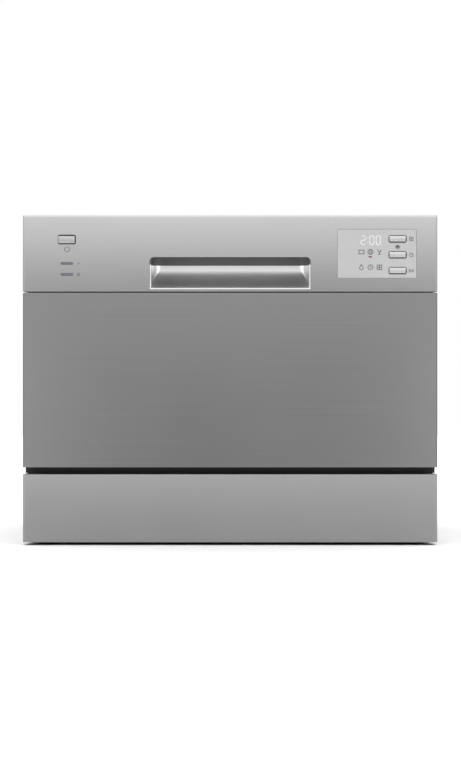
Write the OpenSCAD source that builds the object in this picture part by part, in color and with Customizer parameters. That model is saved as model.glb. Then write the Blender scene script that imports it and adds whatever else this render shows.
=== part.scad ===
// Countertop dishwasher for six place settings, with a drop-down door.
// +X is to the right, +Y towards the back and +Z up.
// The origin is under the middle of the machine, on the surface it stands on.

/* [Cabinet] */
// Width across the door and the kick panel
body_w = 550; // [520:1:580]
// Depth from the door's face to the back panel
cabinet_d = 486; // [470:1:500]
// Height from the worktop to the top of the door
body_h = 438; // [425:1:460]
// How far the water inlet's thread stands out of the back panel
inlet_out = 14; // [8:1:20]
// Sheet steel of the wrapper, kick panel and door skin
sheet_t = 1; // [0.6:0.1:1.2]
// Step from the door's side edges in to the wrapper
side_step = 3; // [2:0.5:5]
// Step from the door's top edge down to the wrapper
top_step = 1; // [0.5:0.5:3]
// Outer radius of the wrapper's two top corners
wrap_r = 9; // [5:1:14]
// Width of the flanges folded in at the wrapper's front and back
wrap_flange = 8; // [5:1:10]
// Height of the wrapper's lower edge above the worktop
wrap_lift = 9; // [7:1:14]

/* [Base] */
// Height that the feet hold the kick panel above the worktop
foot_h = 4; // [3:0.5:8]
// Diameter of a foot
foot_d = 36; // [28:1:44]
// Distance from a foot's centre to the cabinet's side edge
foot_in_x = 34; // [30:1:60]
// Distance from a foot's centre to the front or back face
foot_in_y = 44; // [36:1:70]
// Diameter of a foot's stem
foot_stem_d = 9; // [7:1:12]
// Length of a foot's stem
foot_stem_h = 14; // [8:1:20]
// Floor thickness of the base tray
tray_t = 3; // [2:0.5:4]
// Wall thickness of the base tray
tray_wall = 2.5; // [2:0.5:4]
// Height of the base tray's wall
tray_h = 44; // [30:1:52]
// Height of the kick panel
kick_h = 90; // [80:1:96]

/* [Door] */
// Black gap between the kick panel and the door
toe_gap = 9.4; // [8:0.1:12]
// Depth of the door from its face to its back plane
door_depth = 37.4; // [34:0.2:40]
// Air between the door's back plane and the wrapper
door_air = 2; // [1.5:0.1:4]
// Height of the control panel
panel_h = 101.5; // [96:0.5:110]
// Seam between the control panel and the door skin
seam = 1.6; // [1:0.1:3]
// Radius of the skin's and kick panel's upright front edges
edge_r = 2.5; // [1.5:0.5:4]
// Wall thickness of the control panel
panel_t = 2.5; // [2:0.1:3.5]
// Radius of the control panel's top front edge
panel_top_r = 3; // [2:0.5:5]
// Sheet thickness of the door's inner liner
liner_t = 1; // [0.6:0.1:1.2]
// Depth of the liner's pan
pan_depth = 12; // [8:1:14]
// Width of the liner's pan
pan_w = 404; // [390:1:412]
// Corner radius of the liner's pan
pan_r = 22; // [12:1:30]
// Height from the door's lower edge to the liner's pan
pan_low = 34; // [28:1:48]
// Height of the liner's pan
pan_h = 194; // [180:1:196]
// How far the buttons stand out of the panel
button_proud = 0.6; // [0.4:0.1:1]

/* [Hinge] */
// Distance from the door's face back to the hinge pin
hinge_back = 14.4; // [13:0.1:16]
// Height from the door's lower edge to the hinge pin
hinge_up = 12; // [11:0.5:13]
// Radius of the hinge pin
pin_r = 3; // [2.5:0.1:4]
// Clearance round a pin or a shaft
pin_air = 0.05; // [0.02:0.01:0.08]
// Outer radius of the hinge eyes
eye_r = 8; // [7:0.5:8.5]
// Thickness of the fixed bracket
bracket_t = 3; // [2:0.5:4]
// Thickness of the door's hinge arm
arm_t = 2.5; // [2:0.5:3.5]
// Distance from the door's side edge in to the fixed bracket
bracket_x = 23; // [22:0.5:25]
// Length of the hinge arm up the door
arm_h = 150; // [100:1:200]
// How far the arm's tail reaches behind the pin
tail_back = 30; // [28:1:32]
// How far the arm's tail lies above the pin
tail_up = 10; // [6:1:12]
// Diameter of a door spring
spring_d = 9; // [7:0.5:10]
// Length of a door spring's coiled body
spring_l = 90; // [70:1:110]

/* [Handle] */
// Width of the hand recess
handle_w = 210; // [180:1:230]
// Height of the hand recess
handle_h = 41; // [38:1:46]
// Height of the scoop's curved part
scoop_r = 31; // [28:1:33]
// Radius of the scoop's ends seen from above
scoop_end_r = 16; // [10:1:24]
// Wall of the scoop, which shows as a bright lip round the recess
lip_w = 1.5; // [1:0.1:2]
// Height of the web below the recess
handle_web = 3.2; // [2.6:0.1:5]
// Radius of the recess's two upper corners
handle_r = 6; // [3:0.5:9]
// Height of the finger pocket above the scoop
pocket_h = 24; // [20:1:28]
// Fit clearance between moulded pieces
fit_air = 0.3; // [0.2:0.05:0.5]

/* [Controls] */
// Distance from the panel's left edge to the power button
power_x = 58.5; // [50:0.5:70]
// Distance from the panel's top edge down to the power button
power_z = 32.5; // [26:0.5:42]
// Width of the power button
power_w = 22.5; // [18:0.5:26]
// Height of the power button
power_h = 11.5; // [9:0.5:13]
// Travel of the power button
power_travel = 2; // [1.5:0.1:2.5]
// Clearance round a button
button_air = 0.6; // [0.4:0.1:0.8]
// Width of an indicator window
light_w = 15.5; // [12:0.5:18]
// Height of an indicator window
light_h = 3; // [2:0.5:4]
// Distance from the power button down to the upper indicator window
light_z = 31.8; // [27.5:0.1:37.5]
// Pitch of the two indicator windows
light_pitch = 14.6; // [10:0.1:18]
// Width of the display lens
lens_w = 104.6; // [98:0.2:108]
// Height of the display lens
lens_h = 64.4; // [60:0.2:70]
// Distance from the panel's right edge to the lens's centre
lens_x = 80.3; // [77:0.1:85]
// Distance from the panel's top edge down to the lens's centre
lens_z = 51.2; // [48:0.1:56]
// Thickness of the display lens
lens_t = 1.5; // [1:0.1:1.8]
// Width of an option button
option_w = 22.7; // [18:0.1:24]
// Height of an option button
option_h = 8.5; // [7:0.1:10]
// Distance from the lens's centre to the option buttons
option_x = 27.4; // [24.3:0.1:30.3]
// Pitch of the option buttons
option_pitch = 21; // [18:0.5:22]
// Travel of an option button
option_travel = 1.2; // [0.8:0.1:1.5]

/* [Tub] */
// Inside width of the tub
tub_w = 470; // [466:1:474]
// Height of the tub's floor above the door's lower edge
tub_floor = 20.6; // [18.6:0.5:22.6]
// Inside height of the tub
tub_h = 288; // [280:1:290]
// Inside depth of the tub from the seal to its back wall
tub_d = 395; // [385:1:405]
// Sheet thickness of the tub
tub_t = 1; // [0.6:0.1:1.2]
// Corner radius of the tub
tub_r = 24; // [16:1:28]
// Depth of the front frame's step
frame_step = 9; // [8:0.5:11]
// Gap between the door seal and the closed door
seal_gap = 0.5; // [0.3:0.1:0.6]
// Width of the door seal
seal_w = 10; // [8:0.5:11]

/* [Wash system] */
// Inside radius of the sump
sump_r = 52; // [48:1:56]
// Wall of the sump
sump_t = 3; // [2:0.5:4]
// Height of the sump's floor above the worktop
sump_z = 62; // [56:1:70]
// Distance from the middle to the sump, to the right
sump_x = 70; // [60:1:80]
// Distance from the tub's front back to the sump
sump_y = 105; // [95:1:115]
// Radius of the filter cup
filter_r = 32; // [28:1:36]
// Length of the spray arm
arm_len = 366; // [330:1:376]
// Width of the spray arm at its hub
arm_w = 46; // [38:1:56]
// Thickness of the spray arm
arm_thick = 12; // [10:1:13]
// Height of the spray arm above the tub's floor
arm_lift = 17; // [15:1:18]
// Radius of the spray arm's bearing
hub_r = 13; // [10:1:16]
// Width of a spray nozzle
nozzle_d = 3.2; // [2.5:0.1:5]
// Radius of the wash pump's motor
motor_r = 33; // [28:1:36]
// Length of the wash pump's motor
motor_l = 92; // [80:1:100]
// Outer radius of the internal hoses
hose_r = 7; // [5:0.5:8]
// Distance from the middle to the salt cap, to the left
salt_x = 150; // [140:1:165]
// Distance from the tub's front back to the salt cap
salt_y = 90; // [75:1:100]
// Radius of the salt cap
salt_r = 26; // [22:1:30]

/* [Rack] */
// Width of the rack
rack_w = 396; // [384:1:398]
// Depth of the rack
rack_d = 350; // [320:1:362]
// Gap between the rack and the closed door
rack_gap = 20; // [18:1:24]
// Height from the hinge pin to the rack's floor wires
rack_up = 50; // [48:1:56]
// Height of the rack's sides above its floor wires
rack_side_h = 98; // [90:1:104]
// Radius of the rack's rim wires
rim_r = 2.5; // [2:0.1:3]
// Radius of the wires that run across
cross_r = 1.8; // [1.5:0.1:2]
// Radius of the wires that run front to back
long_r = 2.1; // [1.9:0.1:2.4]
// Bend radius of the rack's wires
wire_bend = 12; // [9:1:16]
// Corner radius of the rack's rims
rim_bend = 20; // [14:1:26]
// Number of wires that run across
cross_n = 8; // [6:1:10]
// Number of wires that run front to back
long_n = 5; // [4:1:7]
// Height of a plate prong
prong_h = 58; // [50:1:66]
// Radius of a plate prong
prong_r = 1.5; // [1.2:0.1:1.6]
// Pitch of the plate prongs
prong_pitch = 30; // [24:1:34]
// Number of plate prongs in a row
prong_n = 8; // [6:1:8]
// Radius of a rack wheel
wheel_r = 15; // [13:0.5:16]
// Width of a rack wheel
wheel_w = 9; // [7:0.5:10]
// Radius of a rack wheel's axle
axle_r = 3; // [2.5:0.1:3.5]
// Distance from the rack's front to its front wheels
wheel_in = 82; // [76:1:100]
// Pitch of the rack's front and rear wheels
wheel_pitch = 220; // [180:1:230]
// Sheet thickness of the runners
runner_t = 2; // [1.5:0.5:2.5]
// Distance that the tools for cutlery leave to the rack's side
basket_in = 9; // [6:1:12]
// Width of the cutlery basket
basket_w = 72; // [60:1:80]
// Length of the cutlery basket
basket_l = 210; // [180:1:230]
// Height of the cutlery basket
basket_h = 108; // [90:1:112]
// Width of a folding cup shelf
shelf_w = 92; // [80:1:100]
// Height of the cup shelves above the rack's floor wires
shelf_up = 122; // [118:1:126]

/* [Dispenser] */
// Width of the dispenser
disp_w = 160; // [150:1:170]
// Height of the dispenser
disp_h = 104; // [98:1:112]
// Height of the dispenser's centre above the door's lower edge
disp_z = 130.6; // [122.6:1:138.6]
// Distance from the middle to the dispenser's centre, to the right
disp_x = 60; // [0:1:70]
// Depth of the dispenser's body inside the door
disp_d = 16; // [13:1:17]
// Width of the detergent cup
cup_w = 52; // [46:1:54]
// Height of the detergent cup
cup_h = 44; // [38:1:46]
// Depth of the detergent cup
cup_d = 14; // [10:1:16]
// Travel of the detergent lid
lid_travel = 58; // [52:1:60]
// Thickness of the detergent lid
lid_t = 2.5; // [2:0.1:3]
// Radius of the rinse-aid cap
rinse_r = 15; // [12:1:16]
// Travel of the dispenser's catch
catch_travel = 3; // [2:0.5:3]

/* [Hidden] */
$fn = 48;
eps = 0.01;

front_y = -(cabinet_d + inlet_out) / 2;
face_y = front_y + button_proud;
back_y = front_y + cabinet_d;
door_back = face_y + door_depth;
wrap_front = door_back + door_air;
half_w = body_w / 2;
wrap_x = half_w - side_step;
wrap_top = body_h - top_step;
kick_top = foot_h + kick_h;
door_low = kick_top + toe_gap;
panel_low = body_h - panel_h;
skin_top = panel_low - seam;
pin_y = face_y + hinge_back;
pin_z = door_low + hinge_up;
tray_z = foot_h + sheet_t;
liner_low = pin_z - 3;
frame_y = wrap_front + sheet_t + frame_step;
floor_z = door_low + tub_floor;
tub_top = floor_z + tub_h;
tub_mid = (floor_z + tub_top) / 2;
tub_back = frame_y + tub_d;
track_z = pin_z + door_back - pin_y;
plate_x = half_w - bracket_x;
key_x = half_w - power_x;
key_z = body_h - power_z;
lamp_z = key_z - light_z;
glass_x = half_w - lens_x;
glass_z = body_h - lens_z;
row_x = glass_x + option_x;
box_z = door_low + disp_z;
well_y = -frame_y - sump_y;
cap_y = -frame_y - salt_y;

// A solid block between two opposite corners
module block(lo, hi) {
    translate(lo) cube(hi - lo);
}

// The same shape on the right and mirrored on the left
module both_sides() {
    children();
    mirror([1, 0, 0]) children();
}

// A rectangle about the origin with round corners
module round_rect(w, h, r) {
    square([w - 2 * r, h], center = true);
    square([w, h - 2 * r], center = true);
    for (sx = [-1, 1], sy = [-1, 1])
        translate([sx * (w / 2 - r), sy * (h / 2 - r)]) circle(r);
}

// An outline in X and Z, run along Y
module along_y(y0, y1) {
    translate([0, y1, 0]) rotate([90, 0, 0]) linear_extrude(y1 - y0) children();
}

// An outline in Y and Z, run along X
module along_x(x0, x1) {
    translate([x0, 0, 0]) rotate([90, 0, 90]) linear_extrude(x1 - x0) children();
}

// A round bar along Y
module bar_y(x, y0, y1, z, r) {
    translate([x, y1, z]) rotate([90, 0, 0]) cylinder(h = y1 - y0, r = r);
}

// A round bar along X
module bar_x(x0, x1, y, z, r) {
    translate([x0, y, z]) rotate([0, 90, 0]) cylinder(h = x1 - x0, r = r);
}

// A round bar between two points
module rod(a, b, r) {
    d = b - a;
    n = norm(d);
    translate(a) rotate([0, acos(d.z / n), atan2(d.y, d.x)]) cylinder(h = n, r = r);
}

// A quarter turn of round bar in the XY plane
module bend(rc, r) {
    rotate_extrude(angle = 90) translate([rc, 0]) circle(r);
}

// A closed loop of round bar in the XY plane
module loop_bar(w, d, rc, r) {
    for (s = [-1, 1]) {
        rod([-w / 2 + rc, s * d / 2, 0], [w / 2 - rc, s * d / 2, 0], r);
        rod([s * w / 2, -d / 2 + rc, 0], [s * w / 2, d / 2 - rc, 0], r);
    }
    for (i = [0 : 3]) {
        sx = (i == 0 || i == 3) ? 1 : -1;
        sy = (i < 2) ? 1 : -1;
        translate([sx * (w / 2 - rc), sy * (d / 2 - rc), 0]) rotate(90 * i) bend(rc, r);
    }
}

// Cabinet

module casing() {
    color("lightgray") {
        difference() {
            along_y(wrap_front, back_y - sheet_t) wrap_outline(0);
            along_y(wrap_front + sheet_t, back_y - 2 * sheet_t) wrap_outline(sheet_t);
            along_y(wrap_front - eps, back_y) wrap_outline(wrap_flange);
            block([sheet_t - wrap_x, wrap_front - eps, 0],
                [wrap_x - sheet_t, wrap_front + 2 * sheet_t, tray_h + fit_air]);
            block([-striker_w / 2 - fit_air, wrap_front - eps, latch_z - latch_h],
                [striker_w / 2 + fit_air, wrap_front + 2 * sheet_t, latch_z + latch_h / 2]);
            at_case_screws() bar_y(0, back_y - 3 * sheet_t, back_y, 0, screw_r + fit_air);
        }
    }
}

// The wrapper seen from the front, moved in by a distance
module wrap_outline(inset) {
    r = max(wrap_r - inset, 1);
    top = wrap_top - inset;
    x = wrap_x - inset;
    low = inset > 0 ? wrap_lift - eps : wrap_lift;
    difference() {
        translate([0, top - x]) round_rect(2 * x, 2 * x, r);
        translate([-body_w, low - 2 * body_w]) square(2 * body_w);
    }
}

vent_n = 9;
vent_w = 3;
vent_l = 60;
vent_pitch = 9;
inlet_x = half_w - 125;
inlet_z = kick_top - 22;
drain_x = half_w - 70;
drain_z = kick_top - 34;
gland_x = half_w - 75;
gland_z = kick_top - 38;
inlet_r = 13.2;
drain_r = 10;
gland_r = 9;

module back_panel() {
    color("lightgray")
    difference() {
        along_y(back_y - sheet_t, back_y) wrap_outline(sheet_t + fit_air);
        for (i = [0 : vent_n - 1])
            translate([-vent_n * vent_pitch / 2 + i * vent_pitch, back_y, body_h / 3])
                along_y(-2 * sheet_t, sheet_t) round_rect(vent_w, vent_l, vent_w / 2 - eps);
        bar_y(inlet_x, back_y - 2 * sheet_t, back_y + sheet_t, inlet_z, inlet_r + fit_air);
        bar_y(drain_x, back_y - 2 * sheet_t, back_y + sheet_t, drain_z, drain_r + fit_air);
        bar_y(-gland_x, back_y - 2 * sheet_t, back_y + sheet_t, gland_z, gland_r + fit_air);
        at_case_screws() bar_y(0, back_y - 2 * sheet_t, back_y + sheet_t, 0, screw_r + fit_air);
    }
}

rib_n_x = 8;
rib_n_y = 7;
rib_t = 2;
rib_h = 10;
seat_z = tray_z + tray_t + rib_h;
tray_x = wrap_x - sheet_t - fit_air;
tray_y0 = face_y + sheet_t;
tray_y1 = back_y - 2 * sheet_t;

// The places of the four feet
module at_feet() {
    for (sx = [-1, 1], y = [face_y + foot_in_y, back_y - foot_in_y])
        translate([sx * (half_w - foot_in_x), y, 0]) children();
}

module base_tray() {
    color("dimgray")
    difference() {
        union() {
            difference() {
                block([-tray_x, tray_y0, tray_z], [tray_x, tray_y1, tray_h]);
                block([tray_wall - tray_x, tray_y0 + tray_wall, tray_z + tray_t],
                    [tray_x - tray_wall, tray_y1 - tray_wall, tray_h + eps]);
            }
            for (i = [1 : rib_n_x - 1])
                translate([-tray_x + i * 2 * tray_x / rib_n_x, 0, 0])
                    block([-rib_t / 2, tray_y0 + eps, tray_z + eps], [rib_t / 2, tray_y1 - eps, seat_z]);
            for (i = [1 : rib_n_y - 1])
                translate([0, tray_y0 + i * (tray_y1 - tray_y0) / rib_n_y, 0])
                    block([eps - tray_x, -rib_t / 2, tray_z + eps], [tray_x - eps, rib_t / 2, seat_z]);
            at_feet() translate([0, 0, tray_z + eps])
                cylinder(h = foot_stem_h + tray_t, d = foot_stem_d + 4 * tray_wall);
        }
        at_feet() translate([0, 0, foot_h])
            cylinder(h = foot_stem_h + 2 * tray_t, d = foot_stem_d + 2 * pin_air);
    }
}

module feet() {
    color("darkslategray")
    at_feet() rotate_extrude() polygon([
        [0, 0], [foot_d / 2 - 1, 0], [foot_d / 2, 1], [foot_d / 2 - 2, tray_z],
        [foot_stem_d / 2, tray_z], [foot_stem_d / 2, tray_z + foot_stem_h],
        [0, tray_z + foot_stem_h]]);
}

// Plan of a front panel with rounded upright edges, moved in by a distance
module front_plan(y1, inset) {
    r = max(edge_r - inset, sheet_t / 2);
    x = half_w - inset;
    y0 = face_y + inset;
    translate([-x, y0 + r]) square([2 * x, y1 - y0 - r]);
    translate([r - x, y0]) square([2 * (x - r), r + eps]);
    for (s = [-1, 1]) translate([s * (x - r), y0 + r]) circle(r);
}

kick_lip = 14;

module kick_panel() {
    color("silver")
    difference() {
        translate([0, 0, foot_h]) linear_extrude(kick_h) front_plan(door_back, 0);
        translate([0, 0, foot_h + sheet_t]) linear_extrude(kick_h - 2 * sheet_t)
            front_plan(door_back + eps, sheet_t);
        block([sheet_t - half_w, face_y + kick_lip, foot_h - eps],
            [half_w - sheet_t, door_back + eps, foot_h + 2 * sheet_t]);
    }
}

sill_t = 2;
sill_low = kick_top - 24;
sill_air = 0.9;
lug_w = 36.5;
lug_x = half_w - 126.3;
lug_out = 2.2;
lug_edge = 1.2;

module sill_strip() {
    top = door_low + sill_air;
    color("black") {
        block([-wrap_x, wrap_front - sill_t, sill_low], [wrap_x, wrap_front, top]);
        difference() {
            block([lug_x - lug_w / 2, wrap_front - sill_t - lug_out, kick_top + sill_air],
                [lug_x + lug_w / 2, wrap_front - sill_t + eps, door_low - sill_air]);
            block([lug_x - lug_w / 2 + lug_edge, wrap_front - sill_t - lug_out - eps, kick_top],
                [lug_x + lug_w / 2 - lug_edge, wrap_front - sill_t - lug_out / 2, door_low]);
        }
    }
}

// Tub

lip_y = wrap_front + sheet_t;
frame_low = door_low + 2.1;
slot_x0 = plate_x - 2;
slot_x1 = plate_x + bracket_t + 1 + arm_t + 4.5;
slot_top = pin_z + tail_back + tail_up;
hub_y = frame_y + tub_d / 2;
riser_r = 9;
latch_z = (tub_top + seal_w + wrap_top) / 2;
latch_h = 8;
latch_w = 30;
float_x = tub_w / 2 - 70;
float_y = tub_back - 45;
float_stem_r = 3;
salt_in_r = salt_r - 4;
inlet_hole_r = 12;
inlet_hole_y = tub_back - 75;
inlet_hole_z = floor_z + 76;

// The tub's inside, grown by a distance
module tub_space(y0, grow) {
    intersection() {
        along_y(y0, tub_back + grow) translate([0, tub_mid])
            round_rect(tub_w + 2 * grow, tub_h + 2 * grow, tub_r + grow);
        translate([0, tub_back + grow - 2 * tub_d, 0]) linear_extrude(body_h)
            translate([0, tub_d]) round_rect(tub_w + 2 * grow, 2 * tub_d, tub_r + grow);
    }
}

// The tub's front frame seen from the front, moved in by a distance
module frame_outline(inset) {
    x = wrap_x - sheet_t - fit_air - inset;
    top = wrap_top - sheet_t - fit_air - inset;
    low = frame_low + inset;
    translate([0, (top + low) / 2])
        round_rect(2 * x, top - low, max(wrap_r - sheet_t - fit_air - inset, 1));
}

module tub() {
    color("silver")
    difference() {
        union() {
            difference() {
                along_y(lip_y, frame_y + tub_t) frame_outline(0);
                along_y(lip_y - eps, frame_y) frame_outline(tub_t);
            }
            tub_space(frame_y + eps, tub_t);
        }
        tub_space(frame_y - eps, 0);
        both_sides() block([slot_x0, frame_y - eps, frame_low + tub_t + eps],
            [slot_x1, frame_y + 2 * tub_t, slot_top]);
        block([-latch_w / 2, frame_y - eps, latch_z - latch_h / 2],
            [latch_w / 2, frame_y + 2 * tub_t, latch_z + latch_h / 2]);
        translate([0, 0, floor_z - 2 * tub_t]) {
            translate([sump_x, -well_y, 0]) cylinder(h = 4 * tub_t, r = sump_r);
            translate([-salt_x, -cap_y, 0]) cylinder(h = 4 * tub_t, r = salt_in_r);
            translate([0, hub_y, 0]) cylinder(h = 4 * tub_t, r = riser_r + fit_air);
            translate([-float_x, float_y, 0]) cylinder(h = 4 * tub_t, r = float_stem_r + 1);
        }
        bar_x(tub_w / 2 - tub_t, tub_w / 2 + 2 * tub_t, inlet_hole_y, inlet_hole_z, inlet_hole_r);
    }
}

bulb_r = seal_w / 2;
seal_foot = 1;

module door_seal() {
    w = tub_w + seal_w + 2 * seal_foot;
    h = tub_h + seal_w + 2 * seal_foot;
    r = tub_r + bulb_r + seal_foot;
    bulb_y = door_back + seal_gap + bulb_r;
    color("dimgray") {
        translate([0, bulb_y, tub_mid]) rotate([90, 0, 0]) loop_bar(w, h, r, bulb_r);
        along_y(bulb_y, frame_y) translate([0, tub_mid]) difference() {
            round_rect(w + seal_w - 2 * seal_foot, h + seal_w - 2 * seal_foot, r + bulb_r - seal_foot);
            round_rect(w - seal_w + 2 * seal_foot, h - seal_w + 2 * seal_foot, r - bulb_r + seal_foot);
        }
    }
}

runner_w = 24;
wheel_air = 0.3;
lip_air = 1.2;
wheel_z = track_z + wheel_air + wheel_r;
runner_top = track_z + wheel_air + 2 * wheel_r + lip_air;
runner_end = 8;

module rack_runners() {
    x = tub_w / 2;
    color("gainsboro")
    intersection() {
        both_sides() difference() {
            block([x - runner_w, frame_y + runner_end, track_z - runner_t],
                [x, tub_back - tub_r - runner_end, runner_top + runner_t]);
            block([x - runner_w - eps, frame_y, track_z], [x - runner_t, tub_back, runner_top]);
        }
        tub_space(frame_y, 0);
    }
}

// Hinges

bracket_low = seat_z;
bracket_y1 = pin_y + tail_back + eye_r + spring_l;
bracket_foot_y = frame_y + 4;
bracket_top = frame_low + tub_t + 14;
foot_flange = 16;
tail_r = 5;

// Outline of the fixed bracket in Y and Z
module bracket_outline() {
    translate([pin_y, pin_z]) circle(eye_r);
    translate([pin_y, pin_z - eye_r]) square([bracket_foot_y - pin_y + eps, bracket_top - pin_z + eye_r]);
    translate([bracket_foot_y, bracket_low])
        square([bracket_y1 - bracket_foot_y, bracket_top - bracket_low]);
}

arm_x = plate_x + bracket_t + 1;
pin_head_r = 5;
pin_head_t = 1.5;

module hinge_brackets() {
    color("gray")
    both_sides() {
        along_x(plate_x, plate_x + bracket_t) bracket_outline();
        block([plate_x - foot_flange, bracket_foot_y, bracket_low],
            [plate_x + eps, bracket_y1, bracket_low + bracket_t]);
        block([plate_x, bracket_y1 - bracket_t, bracket_top - spring_d],
            [slot_x1, bracket_y1, pin_z + tail_up + spring_d]);
        bar_x(plate_x - pin_head_t, arm_x + arm_t + 3, pin_y, pin_z, pin_r);
        bar_x(plate_x - 2 * pin_head_t, plate_x + eps, pin_y, pin_z, pin_head_r);
        bar_x(arm_x + arm_t + 0.5, arm_x + arm_t + 0.5 + pin_head_t, pin_y, pin_z, pin_head_r);
    }
}

module door_springs() {
    y0 = pin_y + tail_back + tail_r + fit_air;
    y1 = bracket_y1 - bracket_t;
    x = arm_x + arm_t / 2;
    z = pin_z + tail_up;
    color("silver")
    both_sides() {
        bar_y(x, y0 + tail_r, y1 - tail_r, z, spring_d / 2);
        bar_y(x, y0, y1, z, arm_t / 2);
    }
}

arm_flange = 12;
arm_deep = 22;
liner_front = door_back - liner_t;

// Outline of the door's hinge arm in Y and Z
module arm_outline() {
    translate([pin_y, pin_z]) circle(eye_r);
    translate([liner_front - arm_deep, pin_z]) square([arm_deep, arm_h]);
    translate([pin_y + tail_back, pin_z + tail_up]) circle(tail_r);
    polygon([[pin_y, pin_z], [liner_front, pin_z + tail_up - tail_r],
        [pin_y + tail_back, pin_z + tail_up - tail_r],
        [pin_y + tail_back, pin_z + tail_up + tail_r], [liner_front - eps, pin_z + tail_up + tail_r]]);
}

module hinge_arms() {
    color("gray")
    both_sides() difference() {
        union() {
            along_x(arm_x, arm_x + arm_t) arm_outline();
            block([arm_x - arm_flange, liner_front - arm_t, slot_top + arm_flange],
                [arm_x + eps, liner_front, pin_z + arm_h]);
        }
        bar_x(arm_x - 1, arm_x + arm_t + 1, pin_y, pin_z, pin_r + pin_air);
    }
}

striker_w = 24;
striker_t = 3.5;
striker_out = 27;
housing_l = 36;
housing_t = 1.2;

module latch_housing() {
    w = latch_w / 2 + housing_t;
    h = latch_h / 2 + housing_t;
    y0 = frame_y + tub_t;
    color("whitesmoke")
    difference() {
        block([-w, y0, latch_z - h], [w, y0 + housing_l, latch_z + h]);
        block([housing_t - w, y0 - eps, latch_z - latch_h / 2],
            [w - housing_t, y0 + housing_l - housing_t, latch_z + latch_h / 2]);
    }
}

module door_striker() {
    z0 = latch_z - latch_h / 2 + housing_t;
    base = 3;
    color("whitesmoke") {
        difference() {
            block([-striker_w / 2, liner_front - base, z0],
                [striker_w / 2, door_back + striker_out, z0 + striker_t]);
            block([-striker_w / 4, door_back + striker_out / 2, z0 - eps],
                [striker_w / 4, door_back + striker_out - striker_t, z0 + striker_t + eps]);
        }
        block([-striker_w / 2 - base, liner_front - base, z0 - base],
            [striker_w / 2 + base, liner_front, z0 + striker_t + base / 2]);
    }
}

// Door

door_radius = door_back - pin_y;
skin_corner_y = pin_y + sqrt(pow(door_radius, 2) - pow(hinge_up, 2));
liner_slot_top = pin_z + tail_up + tail_r + 5;
screw_r = 1.5;
screw_head_r = 3.2;
liner_screw_x = slot_x1 + 4.5;
liner_screw_z = door_low + 50;
liner_screw_pitch = 55;

// The places of the liner's screws
module at_liner_screws() {
    for (sx = [-1, 1], i = [0 : 3])
        translate([sx * liner_screw_x, 0, liner_screw_z + i * liner_screw_pitch]) children();
}

// The wedge cut from the door's lower back edge, so that it turns clear of the seal
module low_edge_wedge() {
    along_x(-half_w - 1, half_w + 1)
        polygon([[skin_corner_y, door_low - eps], [door_back + 1, door_low - eps],
            [door_back + 1, liner_low],
            [door_back, liner_low]]);
}

module door_skin() {
    h = skin_top - door_low;
    color("silver")
    difference() {
        translate([0, 0, door_low]) linear_extrude(h) front_plan(liner_front, 0);
        translate([0, 0, door_low + sheet_t]) linear_extrude(h - 2 * sheet_t)
            front_plan(liner_front - sheet_t, sheet_t);
        block([-slot_x1, liner_front - sheet_t - eps, door_low - eps],
            [slot_x1, door_back, skin_top + eps]);
        block([sheet_t - half_w, liner_front - sheet_t - eps, door_low - eps],
            [half_w - sheet_t, door_back, liner_low]);
        both_sides() block([slot_x0, pin_y - eye_r - 2, door_low - eps],
            [slot_x1, door_back, door_low + 2 * sheet_t]);
        low_edge_wedge();
        at_liner_screws() bar_y(0, liner_front - 2 * sheet_t, liner_front + eps, 0, screw_r + fit_air);
    }
}

scoop_low = panel_low + handle_web;
scoop_mid = scoop_low + lip_w + scoop_r;
handle_top = scoop_low + lip_w + handle_h;
board_y = face_y + 13;
board_t = 1.6;
board_edge = 4;
post_r = 3;
option_z = glass_z - 1.6;
window_w = 44;
window_h = 56;
window_x = glass_x - 8.7;
scoop_more = 0.5;
power_board_w = 40;
power_board_h = 66;
board_up = 9;
power_board_z = lamp_z + board_up;

// The panel's profile in Y and Z, with a rounded top front edge
module panel_side() {
    r = panel_top_r;
    translate([face_y, panel_low]) square([door_depth, panel_h - r]);
    translate([face_y + r, panel_low]) square([door_depth - r, panel_h]);
    translate([face_y + r, body_h - r]) circle(r);
}

// The opening of the hand recess in X and Z
module handle_opening() {
    x = handle_w / 2 + lip_w + fit_air;
    low = scoop_low - fit_air;
    translate([-x, low]) square([2 * x, handle_top - handle_r - low]);
    translate([handle_r - x, low]) square([2 * (x - handle_r), handle_top - low]);
    for (s = [-1, 1]) translate([s * (x - handle_r), handle_top - handle_r]) circle(handle_r);
}

// The places of the three option buttons
module at_options() {
    for (i = [-1 : 1]) translate([row_x, 0, option_z + i * option_pitch]) children();
}

// The places of the two indicator windows
module at_lights() {
    for (i = [0, 1]) translate([-key_x, 0, lamp_z - i * light_pitch]) children();
}

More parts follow.
